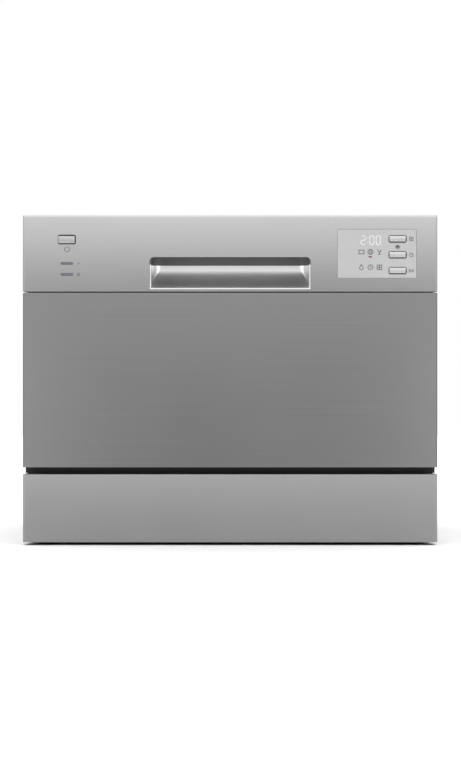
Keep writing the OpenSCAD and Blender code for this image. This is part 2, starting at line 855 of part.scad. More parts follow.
module control_panel() {
    wall_y = face_y + panel_t;
    color("lightgray") {
        difference() {
            intersection() {
                translate([0, 0, panel_low]) linear_extrude(panel_h) front_plan(door_back, 0);
                along_x(-half_w, half_w) panel_side();
            }
            block([panel_t - half_w, wall_y, panel_low + panel_t],
                [half_w - panel_t, door_back + eps, body_h - panel_t]);
            block([panel_t - half_w, liner_front, panel_low - eps],
                [half_w - panel_t, door_back + eps, panel_low + 2 * panel_t]);
            along_y(face_y - eps, wall_y + eps) handle_opening();
            along_y(face_y - eps, face_y + lens_t) translate([glass_x, glass_z])
                round_rect(lens_w + 2 * fit_air, lens_h + 2 * fit_air, 2);
            along_y(face_y, wall_y + eps) translate([window_x, glass_z]) round_rect(window_w, window_h, 2);
            at_options() along_y(face_y, wall_y + eps)
                round_rect(option_w + 2 * button_air, option_h + 2 * button_air, 2.5);
            translate([-key_x, 0, key_z]) along_y(face_y - eps, wall_y + eps)
                round_rect(power_w + 2 * button_air, power_h + 2 * button_air, 2.5);
            at_lights() along_y(face_y - eps, wall_y + eps)
                round_rect(light_w + 2 * fit_air, light_h + 2 * fit_air, 1);
        }
        for (sx = [-1, 1], sz = [-1, 1]) {
            bar_y(glass_x + sx * (lens_w / 2 - 5), wall_y - eps, board_y,
                glass_z + sz * (lens_h / 2 - 5), post_r);
            bar_y(-key_x + sx * (power_board_w / 2 - 4), wall_y - eps, board_y,
                power_board_z + sz * (power_board_h / 2 - 4), post_r);
        }
    }
}

// The hand recess seen from above, grown by a distance and cut off in front
module scoop_plan(z0, z1, grow, front) {
    translate([0, 0, z0]) linear_extrude(z1 - z0) difference() {
        translate([0, face_y])
            round_rect(handle_w + 2 * grow, 2 * (scoop_r + scoop_more + grow), scoop_end_r + grow);
        translate([-body_w, front - 2 * body_w]) square(2 * body_w);
    }
}

module handle_scoop() {
    color("gainsboro")
    difference() {
        intersection() {
            scoop_plan(scoop_low - 1, scoop_mid, lip_w, face_y);
            bar_x(-handle_w, handle_w, face_y, scoop_mid, scoop_r + lip_w);
        }
        intersection() {
            scoop_plan(scoop_low - 1, scoop_mid + 1, 0, face_y - 1);
            bar_x(-handle_w, handle_w, face_y, scoop_mid, scoop_r);
        }
    }
}

module finger_pocket() {
    top = scoop_mid + pocket_h;
    color("dimgray")
    difference() {
        scoop_plan(scoop_mid, top, lip_w, face_y + panel_t);
        scoop_plan(scoop_mid - 1, top - lip_w, 0, face_y);
    }
}

module display_lens() {
    color("whitesmoke")
    difference() {
        translate([glass_x, 0, glass_z]) along_y(face_y, face_y + lens_t) round_rect(lens_w, lens_h, 1.7);
        at_options() along_y(face_y - eps, face_y + lens_t + eps)
            round_rect(option_w + 2 * button_air, option_h + 2 * button_air, 2.5);
    }
}

tact_w = 6;
tact_h = 4;
tact_tip = 0.8;

// A push switch on a board's front
module tact_switch() {
    block([-tact_w / 2, board_y - tact_h + tact_tip, -tact_w / 2], [tact_w / 2, board_y + eps, tact_w / 2]);
    bar_y(0, board_y - tact_h, board_y, 0, 1.7);
}

module display_board() {
    color("darkgreen") {
        translate([glass_x, 0, glass_z]) along_y(board_y, board_y + board_t)
            round_rect(lens_w - board_edge, lens_h - board_edge, 2);
        at_options() tact_switch();
        translate([window_x, 0, glass_z]) along_y(face_y + lens_t, board_y + eps)
            round_rect(window_w - 2 * fit_air, window_h - 2 * fit_air, 1.7);
        translate([-key_x, 0, power_board_z]) along_y(board_y, board_y + board_t)
            round_rect(power_board_w, power_board_h, 2);
        translate([-key_x, 0, key_z]) tact_switch();
    }
}

module indicator_lights() {
    color("slateblue")
    at_lights() along_y(face_y, board_y) round_rect(light_w, light_h, 0.9);
}

pan_mid = door_low + pan_low + pan_h / 2;
pan_y = door_back - pan_depth;
disp_step = 6;
disp_face = pan_y + 3;

module door_liner() {
    x = wrap_x;
    top = body_h - panel_t - fit_air;
    z0 = latch_z - latch_h / 2 + housing_t;
    color("silver")
    difference() {
        union() {
            block([-x, liner_front, liner_low], [x, door_back, top]);
            along_y(pan_y - liner_t, door_back - eps) translate([0, pan_mid])
                round_rect(pan_w + 2 * liner_t, pan_h + 2 * liner_t, pan_r + liner_t);
            along_x(-x, x) polygon([[liner_front, liner_low + eps], [door_back, liner_low + eps],
                [skin_corner_y, door_low + sheet_t], [skin_corner_y - liner_t, door_low + sheet_t]]);
        }
        along_y(pan_y, door_back + eps) translate([0, pan_mid]) round_rect(pan_w, pan_h, pan_r);
        both_sides() block([slot_x0, skin_corner_y - 2 * liner_t, door_low],
            [slot_x1, door_back + eps, liner_slot_top]);
        translate([disp_x, 0, box_z]) along_y(pan_y - 2 * liner_t, pan_y + eps)
            round_rect(disp_w - 2 * disp_step + 2 * fit_air, disp_h - 2 * disp_step + 2 * fit_air,
                disp_step);
        block([-striker_w / 2 - fit_air, liner_front - eps, z0 - fit_air],
            [striker_w / 2 + fit_air, door_back + eps, z0 + striker_t + fit_air]);
        at_liner_screws() bar_y(0, liner_front - eps, door_back + eps, 0, screw_r + fit_air);
    }
}

module liner_screws() {
    color("silver")
    at_liner_screws() {
        bar_y(0, liner_front - 4, door_back + eps, 0, screw_r);
        bar_y(0, door_back, door_back + 1.1, 0, screw_head_r);
    }
}

// Buttons

flange_w = 1.2;
button_gap = 0.05;
tact_gap = 0.2;

// A push button with its retaining flange and its stem
module push_button(x, z, w, h, travel) {
    y0 = face_y + panel_t + button_gap;
    y1 = y0 + flange_w;
    grow = 2 * (button_air + flange_w);
    translate([x, 0, z]) {
        along_y(front_y, y0 + eps) round_rect(w, h, 2);
        along_y(y0, y1) round_rect(w + grow, h + grow, 2);
        bar_y(0, y1 - eps, board_y - tact_h - travel - tact_gap, 0, 2.2);
    }
}

module power_button() {
    color("gainsboro") push_button(-key_x, key_z, power_w, power_h, power_travel);
}

module program_button() {
    color("gainsboro") push_button(row_x, option_z + option_pitch, option_w, option_h, option_travel);
}

module delay_button() {
    color("gainsboro") push_button(row_x, option_z, option_w, option_h, option_travel);
}

module start_button() {
    color("gainsboro") push_button(row_x, option_z - option_pitch, option_w, option_h, option_travel);
}

// Dispenser

cup_x = disp_x - disp_w / 2 + 12 + cup_w / 2;
cup_z = box_z - disp_h / 2 + 10 + cup_h / 2;
lid_edge = 4;
lid_gap = 0.1;
rail_t = 2;
rail_lip = 1.5;
rinse_x = disp_x + 45;
rinse_z = box_z + 30;
rinse_stem_r = 9;
rinse_stem_l = 8;
catch_x = disp_x - 40;
catch_z = box_z + 24;
catch_w = 18;
catch_h = 11;
catch_d = 6;

module dispenser_body() {
    lid_z = cup_h / 2 + lid_edge + fit_air;
    color("whitesmoke")
    difference() {
        union() {
            translate([disp_x, 0, box_z]) {
                along_y(pan_y, disp_face) round_rect(disp_w, disp_h, 8);
                along_y(pan_y - liner_t - disp_d, pan_y + eps)
                    round_rect(disp_w - 2 * disp_step, disp_h - 2 * disp_step, disp_step);
            }
            for (s = [-1, 1]) translate([0, 0, cup_z]) {
                x0 = cup_x - cup_w / 2 - lid_edge;
                x1 = x0 + cup_w + 2 * lid_edge + lid_travel;
                z0 = min(s * lid_z, s * (lid_z + rail_t));
                z2 = min(s * (lid_z - rail_lip), s * (lid_z + rail_t));
                y1 = disp_face + lid_gap + lid_t + fit_air;
                block([x0, disp_face - eps, z0], [x1, y1 + eps, z0 + rail_t]);
                block([x0, y1, z2], [x1, y1 + 1, z2 + rail_t + rail_lip]);
            }
        }
        translate([cup_x, 0, cup_z]) along_y(disp_face - cup_d, disp_face + eps)
            round_rect(cup_w, cup_h, 7);
        bar_y(rinse_x, disp_face - rinse_stem_l - 1, disp_face + eps, rinse_z, rinse_stem_r + pin_air);
        translate([catch_x, 0, catch_z]) along_y(disp_face - catch_d - catch_travel - 1, disp_face + eps)
            round_rect(catch_w + 2 * fit_air, catch_h + 2 * fit_air, 2);
    }
}

module dispenser_lid() {
    color("lightgray")
    translate([cup_x, 0, cup_z]) {
        along_y(disp_face + lid_gap, disp_face + lid_gap + lid_t)
            round_rect(cup_w + 2 * lid_edge, cup_h + 2 * lid_edge, 2);
        for (i = [-1 : 1]) translate([i * 5, 0, 0])
            along_y(disp_face + lid_t, disp_face + lid_gap + lid_t + 1) round_rect(1.6, cup_h / 2, 0.7);
    }
}

module dispenser_catch() {
    color("gray")
    translate([catch_x, 0, catch_z]) along_y(disp_face - catch_d, disp_face + catch_travel)
        round_rect(catch_w, catch_h, 1.7);
}

module rinse_aid_cap() {
    y0 = disp_face + lid_gap;
    color("steelblue") {
        bar_y(rinse_x, disp_face - rinse_stem_l, y0 + eps, rinse_z, rinse_stem_r);
        bar_y(rinse_x, y0, y0 + 2.5, rinse_z, rinse_r);
        translate([rinse_x, 0, rinse_z]) along_y(y0 + 2, y0 + 7) round_rect(2 * rinse_r - 6, 5, 2);
    }
}

// Wash system

port_z = sump_z + sump_t + 16;
port_r = 13;
drain_port_r = 9;
volute_x = 12;
volute_r = port_r + 23;
drain_pump_x = sump_x + sump_r + sump_t + 14;
drain_pump_l = 58;
drain_pump_r = 24;
drain_stub = 38;
riser_z = port_z + 17;
riser_bend = 16;
riser_y = hub_y - riser_bend;
outlet_y = 45 - well_y;
arm_z = floor_z + arm_lift;
heater_r = 3.5;
heater_leg_r = 4.2;
heater_turn = 10;
heater_ring = (sump_r + filter_r) / 2;

// The places of the heater's two legs
module at_heater_legs() {
    for (s = [-1, 1]) translate([sump_x, -well_y, 0]) rotate(90 + s * heater_turn)
        translate([heater_ring, 0, 0]) children();
}

module sump() {
    top = floor_z - tub_t;
    color("whitesmoke")
    difference() {
        union() {
            translate([sump_x, -well_y, sump_z]) cylinder(h = top - sump_z, r = sump_r + sump_t);
            translate([sump_x, -well_y, top - sump_t]) cylinder(h = sump_t, r = sump_r + 4 * sump_t);
            bar_x(volute_x, sump_x, -well_y, port_z, port_r);
            bar_x(sump_x, drain_pump_x, -well_y, port_z, drain_port_r);
        }
        translate([sump_x, -well_y, sump_z + sump_t]) cylinder(h = top, r = sump_r);
        bar_x(volute_x - eps, sump_x, -well_y, port_z, port_r - sump_t);
        bar_x(sump_x, drain_pump_x + eps, -well_y, port_z, drain_port_r - sump_t);
        at_heater_legs() translate([0, 0, sump_z - 1]) cylinder(h = 3 * sump_t, r = heater_leg_r + pin_air);
    }
}

module water_heater() {
    z = sump_z + sump_t + 12;
    color("silver") {
        translate([sump_x, -well_y, z]) rotate_extrude() translate([heater_ring, 0]) circle(heater_r);
        at_heater_legs() translate([0, 0, sump_z - 8])
            cylinder(h = z + heater_r / 2 - sump_z + 8, r = heater_leg_r);
    }
}

filter_plate_t = 2;
filter_air = 1;
mesh_n = 30;
mesh_r = 1.4;

module filter_plate() {
    color("silver")
    translate([sump_x, -well_y, floor_z]) difference() {
        cylinder(h = filter_plate_t, r = sump_r + 14);
        translate([0, 0, -1]) {
            cylinder(h = filter_plate_t + 2, r = filter_r + filter_air);
            for (j = [0 : 1], i = [0 : mesh_n - 1]) rotate((i + j / 2) * 360 / mesh_n)
                translate([filter_r + 9 + 6 * j, 0, 0]) cylinder(h = filter_plate_t + 2, r = mesh_r);
        }
    }
}

cup_slots = 10;

module filter_cup() {
    low = sump_z + sump_t + 1;
    top = floor_z + filter_plate_t;
    color("gray")
    translate([sump_x, -well_y, 0]) {
        difference() {
            union() {
                translate([0, 0, low]) cylinder(h = top - low + 1, r = filter_r);
                translate([0, 0, top + wheel_air]) cylinder(h = 2, r = filter_r + 5);
            }
            translate([0, 0, low + 2]) cylinder(h = top, r = filter_r - 2);
            for (i = [0 : cup_slots - 1]) rotate((i + 0.5) * 360 / cup_slots)
                block([filter_r - 5, -filter_r / 5, low + 6], [filter_r + 1, filter_r / 5, top - 8]);
        }
        difference() {
            block([1 - filter_r, -2, top - 8], [filter_r - 1, 2, top + 9]);
            block([-filter_r / 2, -3, top - 9], [filter_r / 2, 3, top + 5]);
        }
    }
}

module wash_pump() {
    color("dimgray") {
        bar_x(-volute_x, volute_x, -well_y, port_z, volute_r);
        bar_x(-volute_x - motor_l, eps - volute_x, -well_y, port_z, motor_r);
        bar_x(-volute_x - motor_l - 8, -volute_x - motor_l + eps, -well_y, port_z, motor_r / 3);
        bar_y(0, 20 - well_y, outlet_y, riser_z, riser_r);
        block([-volute_x - motor_l + 14, -well_y - motor_r / 2, seat_z],
            [-volute_x - 14, motor_r / 2 - well_y, port_z - motor_r + 6]);
    }
}

module drain_pump() {
    x = drain_pump_x + drain_pump_l / 2;
    color("dimgray") {
        bar_x(drain_pump_x, drain_pump_x + drain_pump_l, -well_y, port_z, drain_pump_r);
        bar_y(x, 10 - well_y, drain_stub - well_y, port_z + 6, hose_r);
        block([x - 14, -well_y - 14, seat_z], [x + 14, 14 - well_y, port_z - drain_pump_r + 5]);
    }
}

cap_h = 4;

module spray_riser() {
    color("gray") {
        bar_y(0, outlet_y, riser_y, riser_z, riser_r);
        translate([0, riser_y, riser_z + riser_bend]) rotate([90, 0, 90]) rotate(-90)
            bend(riser_bend, riser_r);
        translate([0, hub_y, riser_z + riser_bend]) cylinder(h = arm_z - riser_z - riser_bend, r = riser_r);
        translate([0, hub_y, floor_z]) cylinder(h = arm_lift - wheel_air, r = hub_r + 1);
        translate([0, hub_y, arm_z - 1]) cylinder(h = arm_thick + 2, r = hub_r - 4);
        translate([0, hub_y, arm_z + arm_thick + wheel_air]) cylinder(h = cap_h, r = hub_r);
    }
}

arm_tip_w = 26;
nozzle_n = 5;
arm_step = 2;

// Outline of the spray arm seen from above
module arm_plan() {
    tip = arm_len / 2 - arm_tip_w / 2;
    circle(hub_r + 8);
    for (s = [0, 180]) rotate(s) {
        polygon([[0, -arm_w / 2], [tip, -arm_tip_w / 2], [tip, arm_tip_w / 2], [0, arm_w / 2]]);
        translate([tip, 0]) circle(arm_tip_w / 2);
    }
}

module spray_arm() {
    color("silver")
    translate([0, hub_y, arm_z]) difference() {
        union() {
            translate([0, 0, arm_step]) linear_extrude(arm_thick - 2 * arm_step) arm_plan();
            cylinder(h = arm_thick, r = hub_r + 6);
        }
        translate([0, 0, -1]) cylinder(h = arm_thick + 2, r = hub_r - 4 + pin_air);
        for (s = [0, 180], i = [1 : nozzle_n]) rotate(s)
            translate([hub_r + 6 + i * (arm_len / 2 - hub_r - 20) / nozzle_n, (i % 2 - 0.5) * 8,
                arm_thick - 2 * arm_step])
                cylinder(h = arm_thick, d = nozzle_d);
    }
}

soft_x0 = salt_x + 82;
soft_x1 = salt_x - 28;
soft_y0 = cap_y + 70;
soft_y1 = cap_y - 70;
soft_top = floor_z - 24;

module water_softener() {
    color("whitesmoke")
    difference() {
        union() {
            translate([-(soft_x0 + soft_x1) / 2, -(soft_y0 + soft_y1) / 2, seat_z])
                linear_extrude(soft_top - seat_z) round_rect(soft_x0 - soft_x1, soft_y0 - soft_y1, 10);
            translate([-salt_x, -cap_y, soft_top - eps])
                cylinder(h = floor_z - tub_t - soft_top + eps, r = salt_in_r + 3);
        }
        translate([-salt_x, -cap_y, soft_top - 12]) cylinder(h = floor_z, r = salt_in_r);
    }
}

module salt_cap() {
    grips = 12;
    color("whitesmoke")
    translate([-salt_x, -cap_y, floor_z]) difference() {
        union() {
            translate([0, 0, wheel_air]) cylinder(h = 6, r = salt_r);
            translate([0, 0, -14]) cylinder(h = 15, r = salt_in_r - 2 * pin_air);
            translate([0, 0, 6]) linear_extrude(5) round_rect(2 * salt_r - 10, 8, 3);
        }
        for (i = [0 : grips - 1]) rotate((i + 0.5) * 360 / grips)
            translate([salt_r + 1, 0, wheel_air - eps]) cylinder(h = 7, r = 2.5);
    }
}

// Water and power connections

valve_w = 40;
valve_h = 36;
valve_d = 30;
valve_y = back_y - sheet_t - valve_d;
valve_stub = 15;
thread_wall = 3.2;
thread_in = 6;
neck_l = 2;
neck_step = 0.8;
coil_r = 12;
coil_h = 26;

module inlet_valve() {
    color("whitesmoke")
    difference() {
        union() {
            translate([inlet_x, 0, inlet_z]) along_y(valve_y, back_y - sheet_t)
                round_rect(valve_w, valve_h, 5);
            bar_y(inlet_x, valve_y + 1, back_y + inlet_out, inlet_z, inlet_r - neck_step);
            bar_y(inlet_x, back_y + neck_l, back_y + inlet_out, inlet_z, inlet_r);
            bar_y(inlet_x, valve_y - valve_stub, valve_y + 1, inlet_z, hose_r);
            translate([inlet_x, valve_y + valve_d / 2, inlet_z + valve_h / 2 - 1])
                cylinder(h = coil_h, r = coil_r);
        }
        bar_y(inlet_x, back_y - thread_in, back_y + inlet_out + 1, inlet_z, inlet_r - thread_wall);
    }
}

barb_out = 12;
spigot_in = 20;

module drain_spigot() {
    color("dimgray")
    difference() {
        union() {
            bar_y(drain_x, back_y - spigot_in, back_y + barb_out, drain_z, drain_r - 1);
            for (y = [2, 7]) bar_y(drain_x, back_y + y, back_y + y + 3, drain_z, drain_r);
            bar_y(drain_x, back_y - sheet_t - 3, back_y - sheet_t, drain_z, drain_r + 6);
        }
        bar_y(drain_x, back_y - spigot_in + 4, back_y + barb_out + 1, drain_z, drain_r - 3);
    }
}

gland_hole_r = 4;
gland_out = 6;
gland_in = 10;

module cord_gland() {
    color("black")
    difference() {
        union() {
            bar_y(-gland_x, back_y - gland_in, back_y + eps, gland_z, gland_r);
            bar_y(-gland_x, back_y, back_y + gland_out, gland_z, gland_r + 3);
            bar_y(-gland_x, back_y - sheet_t - 3, back_y - sheet_t, gland_z, gland_r + 2);
        }
        bar_y(-gland_x, back_y - gland_in - 1, back_y + gland_out + 1, gland_z, gland_hole_r);
    }
}

break_x0 = tub_w / 2 + tub_t + 4;
break_t = wrap_x - sheet_t - break_x0 - 5;
break_y0 = inlet_hole_y - 60;
break_y1 = inlet_hole_y + 70;
break_z0 = floor_z + 18;
break_z1 = tub_top - 34;
rib_pitch = 34;

module air_break() {
    mid_y = (break_y0 + break_y1) / 2;
    mid_z = (break_z0 + break_z1) / 2;
    color("whitesmoke")
    difference() {
        union() {
            along_x(break_x0, break_x0 + break_t) translate([mid_y, mid_z])
                round_rect(break_y1 - break_y0, break_z1 - break_z0, 14);
            bar_x(tub_w / 2 + tub_t, break_x0 + 1, inlet_hole_y, inlet_hole_z, inlet_hole_r + 2);
        }
        bar_x(tub_w / 2, break_x0 + 6, inlet_hole_y, inlet_hole_z, inlet_hole_r);
        for (i = [0 : 5]) along_x(break_x0 + break_t - 4, break_x0 + break_t + 1)
            translate([mid_y + (i % 2 - 0.5) * 20, break_z0 + 30 + i * rib_pitch])
                round_rect(break_y1 - break_y0 - 40, rib_pitch / 2, 5);
    }
}

elbow_more = 0.8;
hose_turn = 33;

// A hose along a list of points
module hose(points) {
    for (i = [0 : len(points) - 2]) rod(points[i], points[i + 1], hose_r);
    for (i = [1 : len(points) - 2]) translate(points[i]) sphere(hose_r + elbow_more);
}

hose_z = floor_z - tub_t - hose_r - 8;
break_mid_x = break_x0 + break_t / 2;

module inner_hoses() {
    y = valve_y - hose_turn;
    x = drain_pump_x + drain_pump_l / 2;
    z = port_z + 6;
    color("gray") {
        hose([[inlet_x, valve_y - valve_stub, inlet_z], [inlet_x, y, inlet_z], [inlet_x, y, hose_z],
            [break_mid_x, y, hose_z], [break_mid_x, y, break_z0]]);
        hose([[break_mid_x, break_y0 + 25, break_z0], [break_mid_x, break_y0 + 25, hose_z],
            [-soft_x0 + 50, break_y0 + 25, hose_z], [-soft_x0 + 50, 30 - soft_y1, hose_z],
            [-soft_x0 + 50, 30 - soft_y1, soft_top - 20], [-soft_x0 + 50, -soft_y1, soft_top - 20]]);
        hose([[x, drain_stub - well_y, z], [x, back_y - 86, z], [drain_x, back_y - 46, drain_z],
            [drain_x, back_y - spigot_in, drain_z]]);
    }
}

board_in = 40;
board_l = 150;

module power_board() {
    color("darkgreen")
    block([-soft_x0 - 28, board_in - soft_y1, seat_z],
        [-soft_x0 - 8, board_in - soft_y1 + board_l, floor_z - 14]);
}

module sound_pads() {
    y0 = frame_y + 20;
    y1 = tub_back - 25;
    t = 3;
    x = tub_w / 2 + tub_t;
    color("darkslategray") {
        block([-x + 20, y0, tub_top + tub_t], [x - 20, y1, tub_top + tub_t + t]);
        block([x, y0, floor_z + tub_r], [x + t, break_y0 - 20, tub_top - tub_r]);
        block([-x - t, y0, floor_z + tub_r], [-x, y1, tub_top - tub_r]);
    }
}

case_screw_x = wrap_x - wrap_flange / 2;
case_screw_z = 70;
case_screw_pitch = (wrap_top - case_screw_z - 43.6) / 3;

// The places of the screws that hold the back panel
module at_case_screws() {
    for (sx = [-1, 1], i = [0 : 3])
        translate([sx * case_screw_x, 0, case_screw_z + i * case_screw_pitch]) children();
    for (x = [-1 : 1]) translate([x * case_screw_x * 2 / 3, 0, wrap_top - wrap_flange / 2]) children();
}

module casing_screws() {
    color("silver")
    at_case_screws() {
        bar_y(0, back_y - 2 * sheet_t - 4, back_y + eps, 0, screw_r);
        bar_y(0, back_y, back_y + 2, 0, screw_head_r);
    }
}

// Floats

float_rise = 4;

module overfill_float() {
    r = 13;
    color("whitesmoke")
    translate([-float_x, float_y, floor_z]) {
        translate([0, 0, wheel_air]) cylinder(h = 6, r = r);
        translate([0, 0, 6]) cylinder(h = 5, r1 = r, r2 = r - 6);
        translate([0, 0, -26]) cylinder(h = 27, r = float_stem_r);
    }
}

module float_switch() {
    top = floor_z - tub_t;
    color("dimgray")
    difference() {
        block([-float_x - 14, float_y - 10, top - 20], [10 - float_x, float_y + 10, top]);
        translate([-float_x, float_y, top - 21]) cylinder(h = 22, r = float_stem_r + fit_air);
    }
}

// Rack

rack_front = door_back + rack_gap;
rack_mid = rack_front + rack_d / 2;
rack_z = pin_z + rack_up;
wire_edge = 30;
cross_step = (rack_d - 2 * wire_edge) / (cross_n - 1);
wheel_x = tub_w / 2 - runner_w + (runner_w - runner_t - wheel_w) / 2;
wheel_y = rack_front + wheel_in;
carrier_l = 44;
carrier_t = 3;
shelf_z = rack_z + shelf_up;
shelf_wire_r = 2;
shelf_post = (cross_n - 2) * cross_step / 2;
shelf_l = 2 * (shelf_post - long_r - fit_air);

tine_rows = [1, floor(cross_n / 2), cross_n - 2];
tine_x = 42;
long_step = (rack_w - 2 * wire_edge) / (long_n - 1);
rack_split = long_r + 0.4;
rack_joint = 0.2;

// The tines that hold the plates upright, welded on the floor wires
module plate_tines() {
    color("lightsteelblue")
    for (j = tine_rows, k = [0 : prong_n - 1])
        translate([tine_x - rack_w / 2 + k * prong_pitch, rack_front + wire_edge + j * cross_step,
            rack_z + cross_r])
            rotate_extrude() {
                square([prong_r, prong_h - prong_r]);
                intersection() {
                    translate([0, prong_h - prong_r]) circle(prong_r);
                    translate([0, prong_h - prong_r]) square(prong_r);
                }
            }
}

// A wire across the rack's floor with its two bends up, in the XZ plane
module floor_wire(w, r) {
    rotate([90, 0, 0]) {
        rod([wire_bend - w / 2, 0, 0], [w / 2 - wire_bend, 0, 0], r);
        translate([w / 2 - wire_bend, wire_bend, 0]) rotate(-90) bend(wire_bend, r);
        translate([wire_bend - w / 2, wire_bend, 0]) rotate(180) bend(wire_bend, r);
    }
}

// The floor of the rack, up to a level just above its wires
module dish_rack() {
    color("lightsteelblue")
    intersection() {
        union() {
            for (i = [0 : cross_n - 1]) translate([0, rack_front + wire_edge + i * cross_step, rack_z])
                floor_wire(rack_w, cross_r);
            for (i = [0 : long_n - 1])
                translate([-rack_w / 2 + wire_edge + i * long_step, rack_mid, rack_z])
                rotate(90) floor_wire(rack_d, long_r);
        }
        block([-rack_w, rack_front - rack_d, rack_z - 2 * long_r],
            [rack_w, rack_front + 2 * rack_d, rack_z + rack_split]);
    }
}

// One side of the rack above its floor, at the right of a frame of this width and depth
module fence(w, d, n, step, r, joint) {
    out = 4 * rim_r;
    deep = 2 * rim_bend;
    intersection() {
        union() {
            for (z = [rack_side_h / 2, rack_side_h]) translate([w / 2, 0, z]) {
                rod([0, rim_bend - d / 2, 0], [0, d / 2 - rim_bend, 0], rim_r);
                translate([-rim_bend, d / 2 - rim_bend, 0]) bend(rim_bend, rim_r);
                translate([-rim_bend, rim_bend - d / 2, 0]) rotate(-90) bend(rim_bend, rim_r);
            }
            for (i = [0 : n - 1]) translate([w / 2, (i - (n - 1) / 2) * step, 0]) {
                rod([0, 0, wire_bend], [0, 0, rack_side_h], r);
                translate([-wire_bend, 0, wire_bend]) rotate([90, 0, 0]) rotate(-90) bend(wire_bend, r);
            }
        }
        translate([0, 0, rack_split]) linear_extrude(rack_side_h + out)
            polygon([[w / 2 + out, joint - out - d / 2], [w / 2 + out, d / 2 + out - joint],
                [w / 2 - deep, d / 2 - deep - joint], [w / 2 - deep, joint + deep - d / 2]]);
    }
}

// The four sides of the rack, with the wires that carry the cup shelves
module rack_fences() {
    color("lightsteelblue")
    translate([0, rack_mid, rack_z]) {
        both_sides() {
            fence(rack_w, rack_d, cross_n, cross_step, cross_r, rack_joint);
            for (s = [-1, 1])
                rod([rack_w / 2, s * shelf_post, rack_side_h],
                    [rack_w / 2, s * shelf_post, shelf_up + 2 * shelf_wire_r], long_r);
            bar_y(rack_w / 2, -shelf_post, shelf_post, shelf_up, shelf_wire_r);
        }
        for (a = [-90, 90]) rotate(a) fence(rack_d, rack_w, long_n, long_step, long_r, 0);
    }
}

// The moulded blocks round the side wires, with the wheels' axles
module rack_carriers() {
    color("slategray")
    both_sides() for (y = [wheel_y, wheel_y + wheel_pitch]) difference() {
        union() {
            block([rack_w / 2 - carrier_t, y - carrier_l / 2, wheel_z - 8],
                [rack_w / 2 + carrier_t, y + carrier_l / 2, rack_z + 30]);
            bar_x(rack_w / 2, wheel_x + wheel_w + wheel_air + 0.5, y, wheel_z, axle_r);
            bar_x(wheel_x + wheel_w + wheel_air, wheel_x + wheel_w + wheel_air + 1.5, y, wheel_z,
                axle_r + 2);
            bar_x(rack_w / 2 + carrier_t - eps, wheel_x - wheel_air, y, wheel_z, axle_r + 2);
        }
        for (i = [0 : cross_n - 1]) {
            wire_y = rack_front + wire_edge + i * cross_step;
            if (abs(wire_y - y) < carrier_l / 2 + 2 * cross_r)
                translate([rack_w / 2 - wire_bend, wire_y, rack_z + wire_bend]) {
                rod([wire_bend, 0, 0], [wire_bend, 0, rack_side_h], cross_r + fit_air);
                rotate([90, 0, 0]) rotate(-90) bend(wire_bend, cross_r + fit_air);
            }
        }
    }
}

// A pair of rack wheels on one line across the rack
module wheel_pair(y) {
    groove = 1.5;
    both_sides() difference() {
        bar_x(wheel_x, wheel_x + wheel_w, y, wheel_z, wheel_r);
        bar_x(wheel_x - 1, wheel_x + wheel_w + 1, y, wheel_z, axle_r + pin_air);
        for (x = [wheel_x - eps, wheel_x + wheel_w - groove + eps]) difference() {
            bar_x(x, x + groove, y, wheel_z, wheel_r - 3);
            bar_x(x - 1, x + groove + 1, y, wheel_z, axle_r + 3);
        }
    }
}

module front_wheels() {
    color("lightsteelblue") wheel_pair(wheel_y);
}

module rear_wheels() {
    color("lightsteelblue") wheel_pair(wheel_y + wheel_pitch);
}

barrel_r = 4.2;
barrel_l = 20;
shelf_t = 3;
shelf_lip = 7;
shelf_slots = 9;

// The right-hand folding cup shelf
module cup_shelf() {
    x = rack_w / 2;
    y0 = rack_mid - shelf_l / 2;
    y1 = rack_mid + shelf_l / 2;
    pitch = shelf_l / shelf_slots;
    difference() {
        union() {
            block([x - shelf_w, y0, shelf_z - shelf_t / 2], [x - barrel_r + 1, y1, shelf_z + shelf_t / 2]);
            block([x - shelf_w, y0, shelf_z - shelf_t / 2], [x - shelf_w + 2, y1, shelf_z + shelf_lip]);
            bar_y(x, y0, y0 + barrel_l, shelf_z, barrel_r);
            bar_y(x, y1 - barrel_l, y1, shelf_z, barrel_r);
        }
        bar_y(x, y0 - 1, y1 + 1, shelf_z, shelf_wire_r + pin_air);
        for (i = [0 : shelf_slots - 1])
            translate([x - (shelf_w + barrel_r) / 2, y0 + (i + 0.5) * pitch, shelf_z - shelf_t])
                linear_extrude(2 * shelf_t) round_rect(shelf_w - 30, pitch - 7, (pitch - 7) / 2 - eps);
    }
}

module cup_shelf_right() {
    color("lightsteelblue") cup_shelf();
}

module cup_shelf_left() {
    color("lightsteelblue") mirror([1, 0, 0]) cup_shelf();
}

basket_t = 2;
basket_rows = 3;
basket_cols = 9;

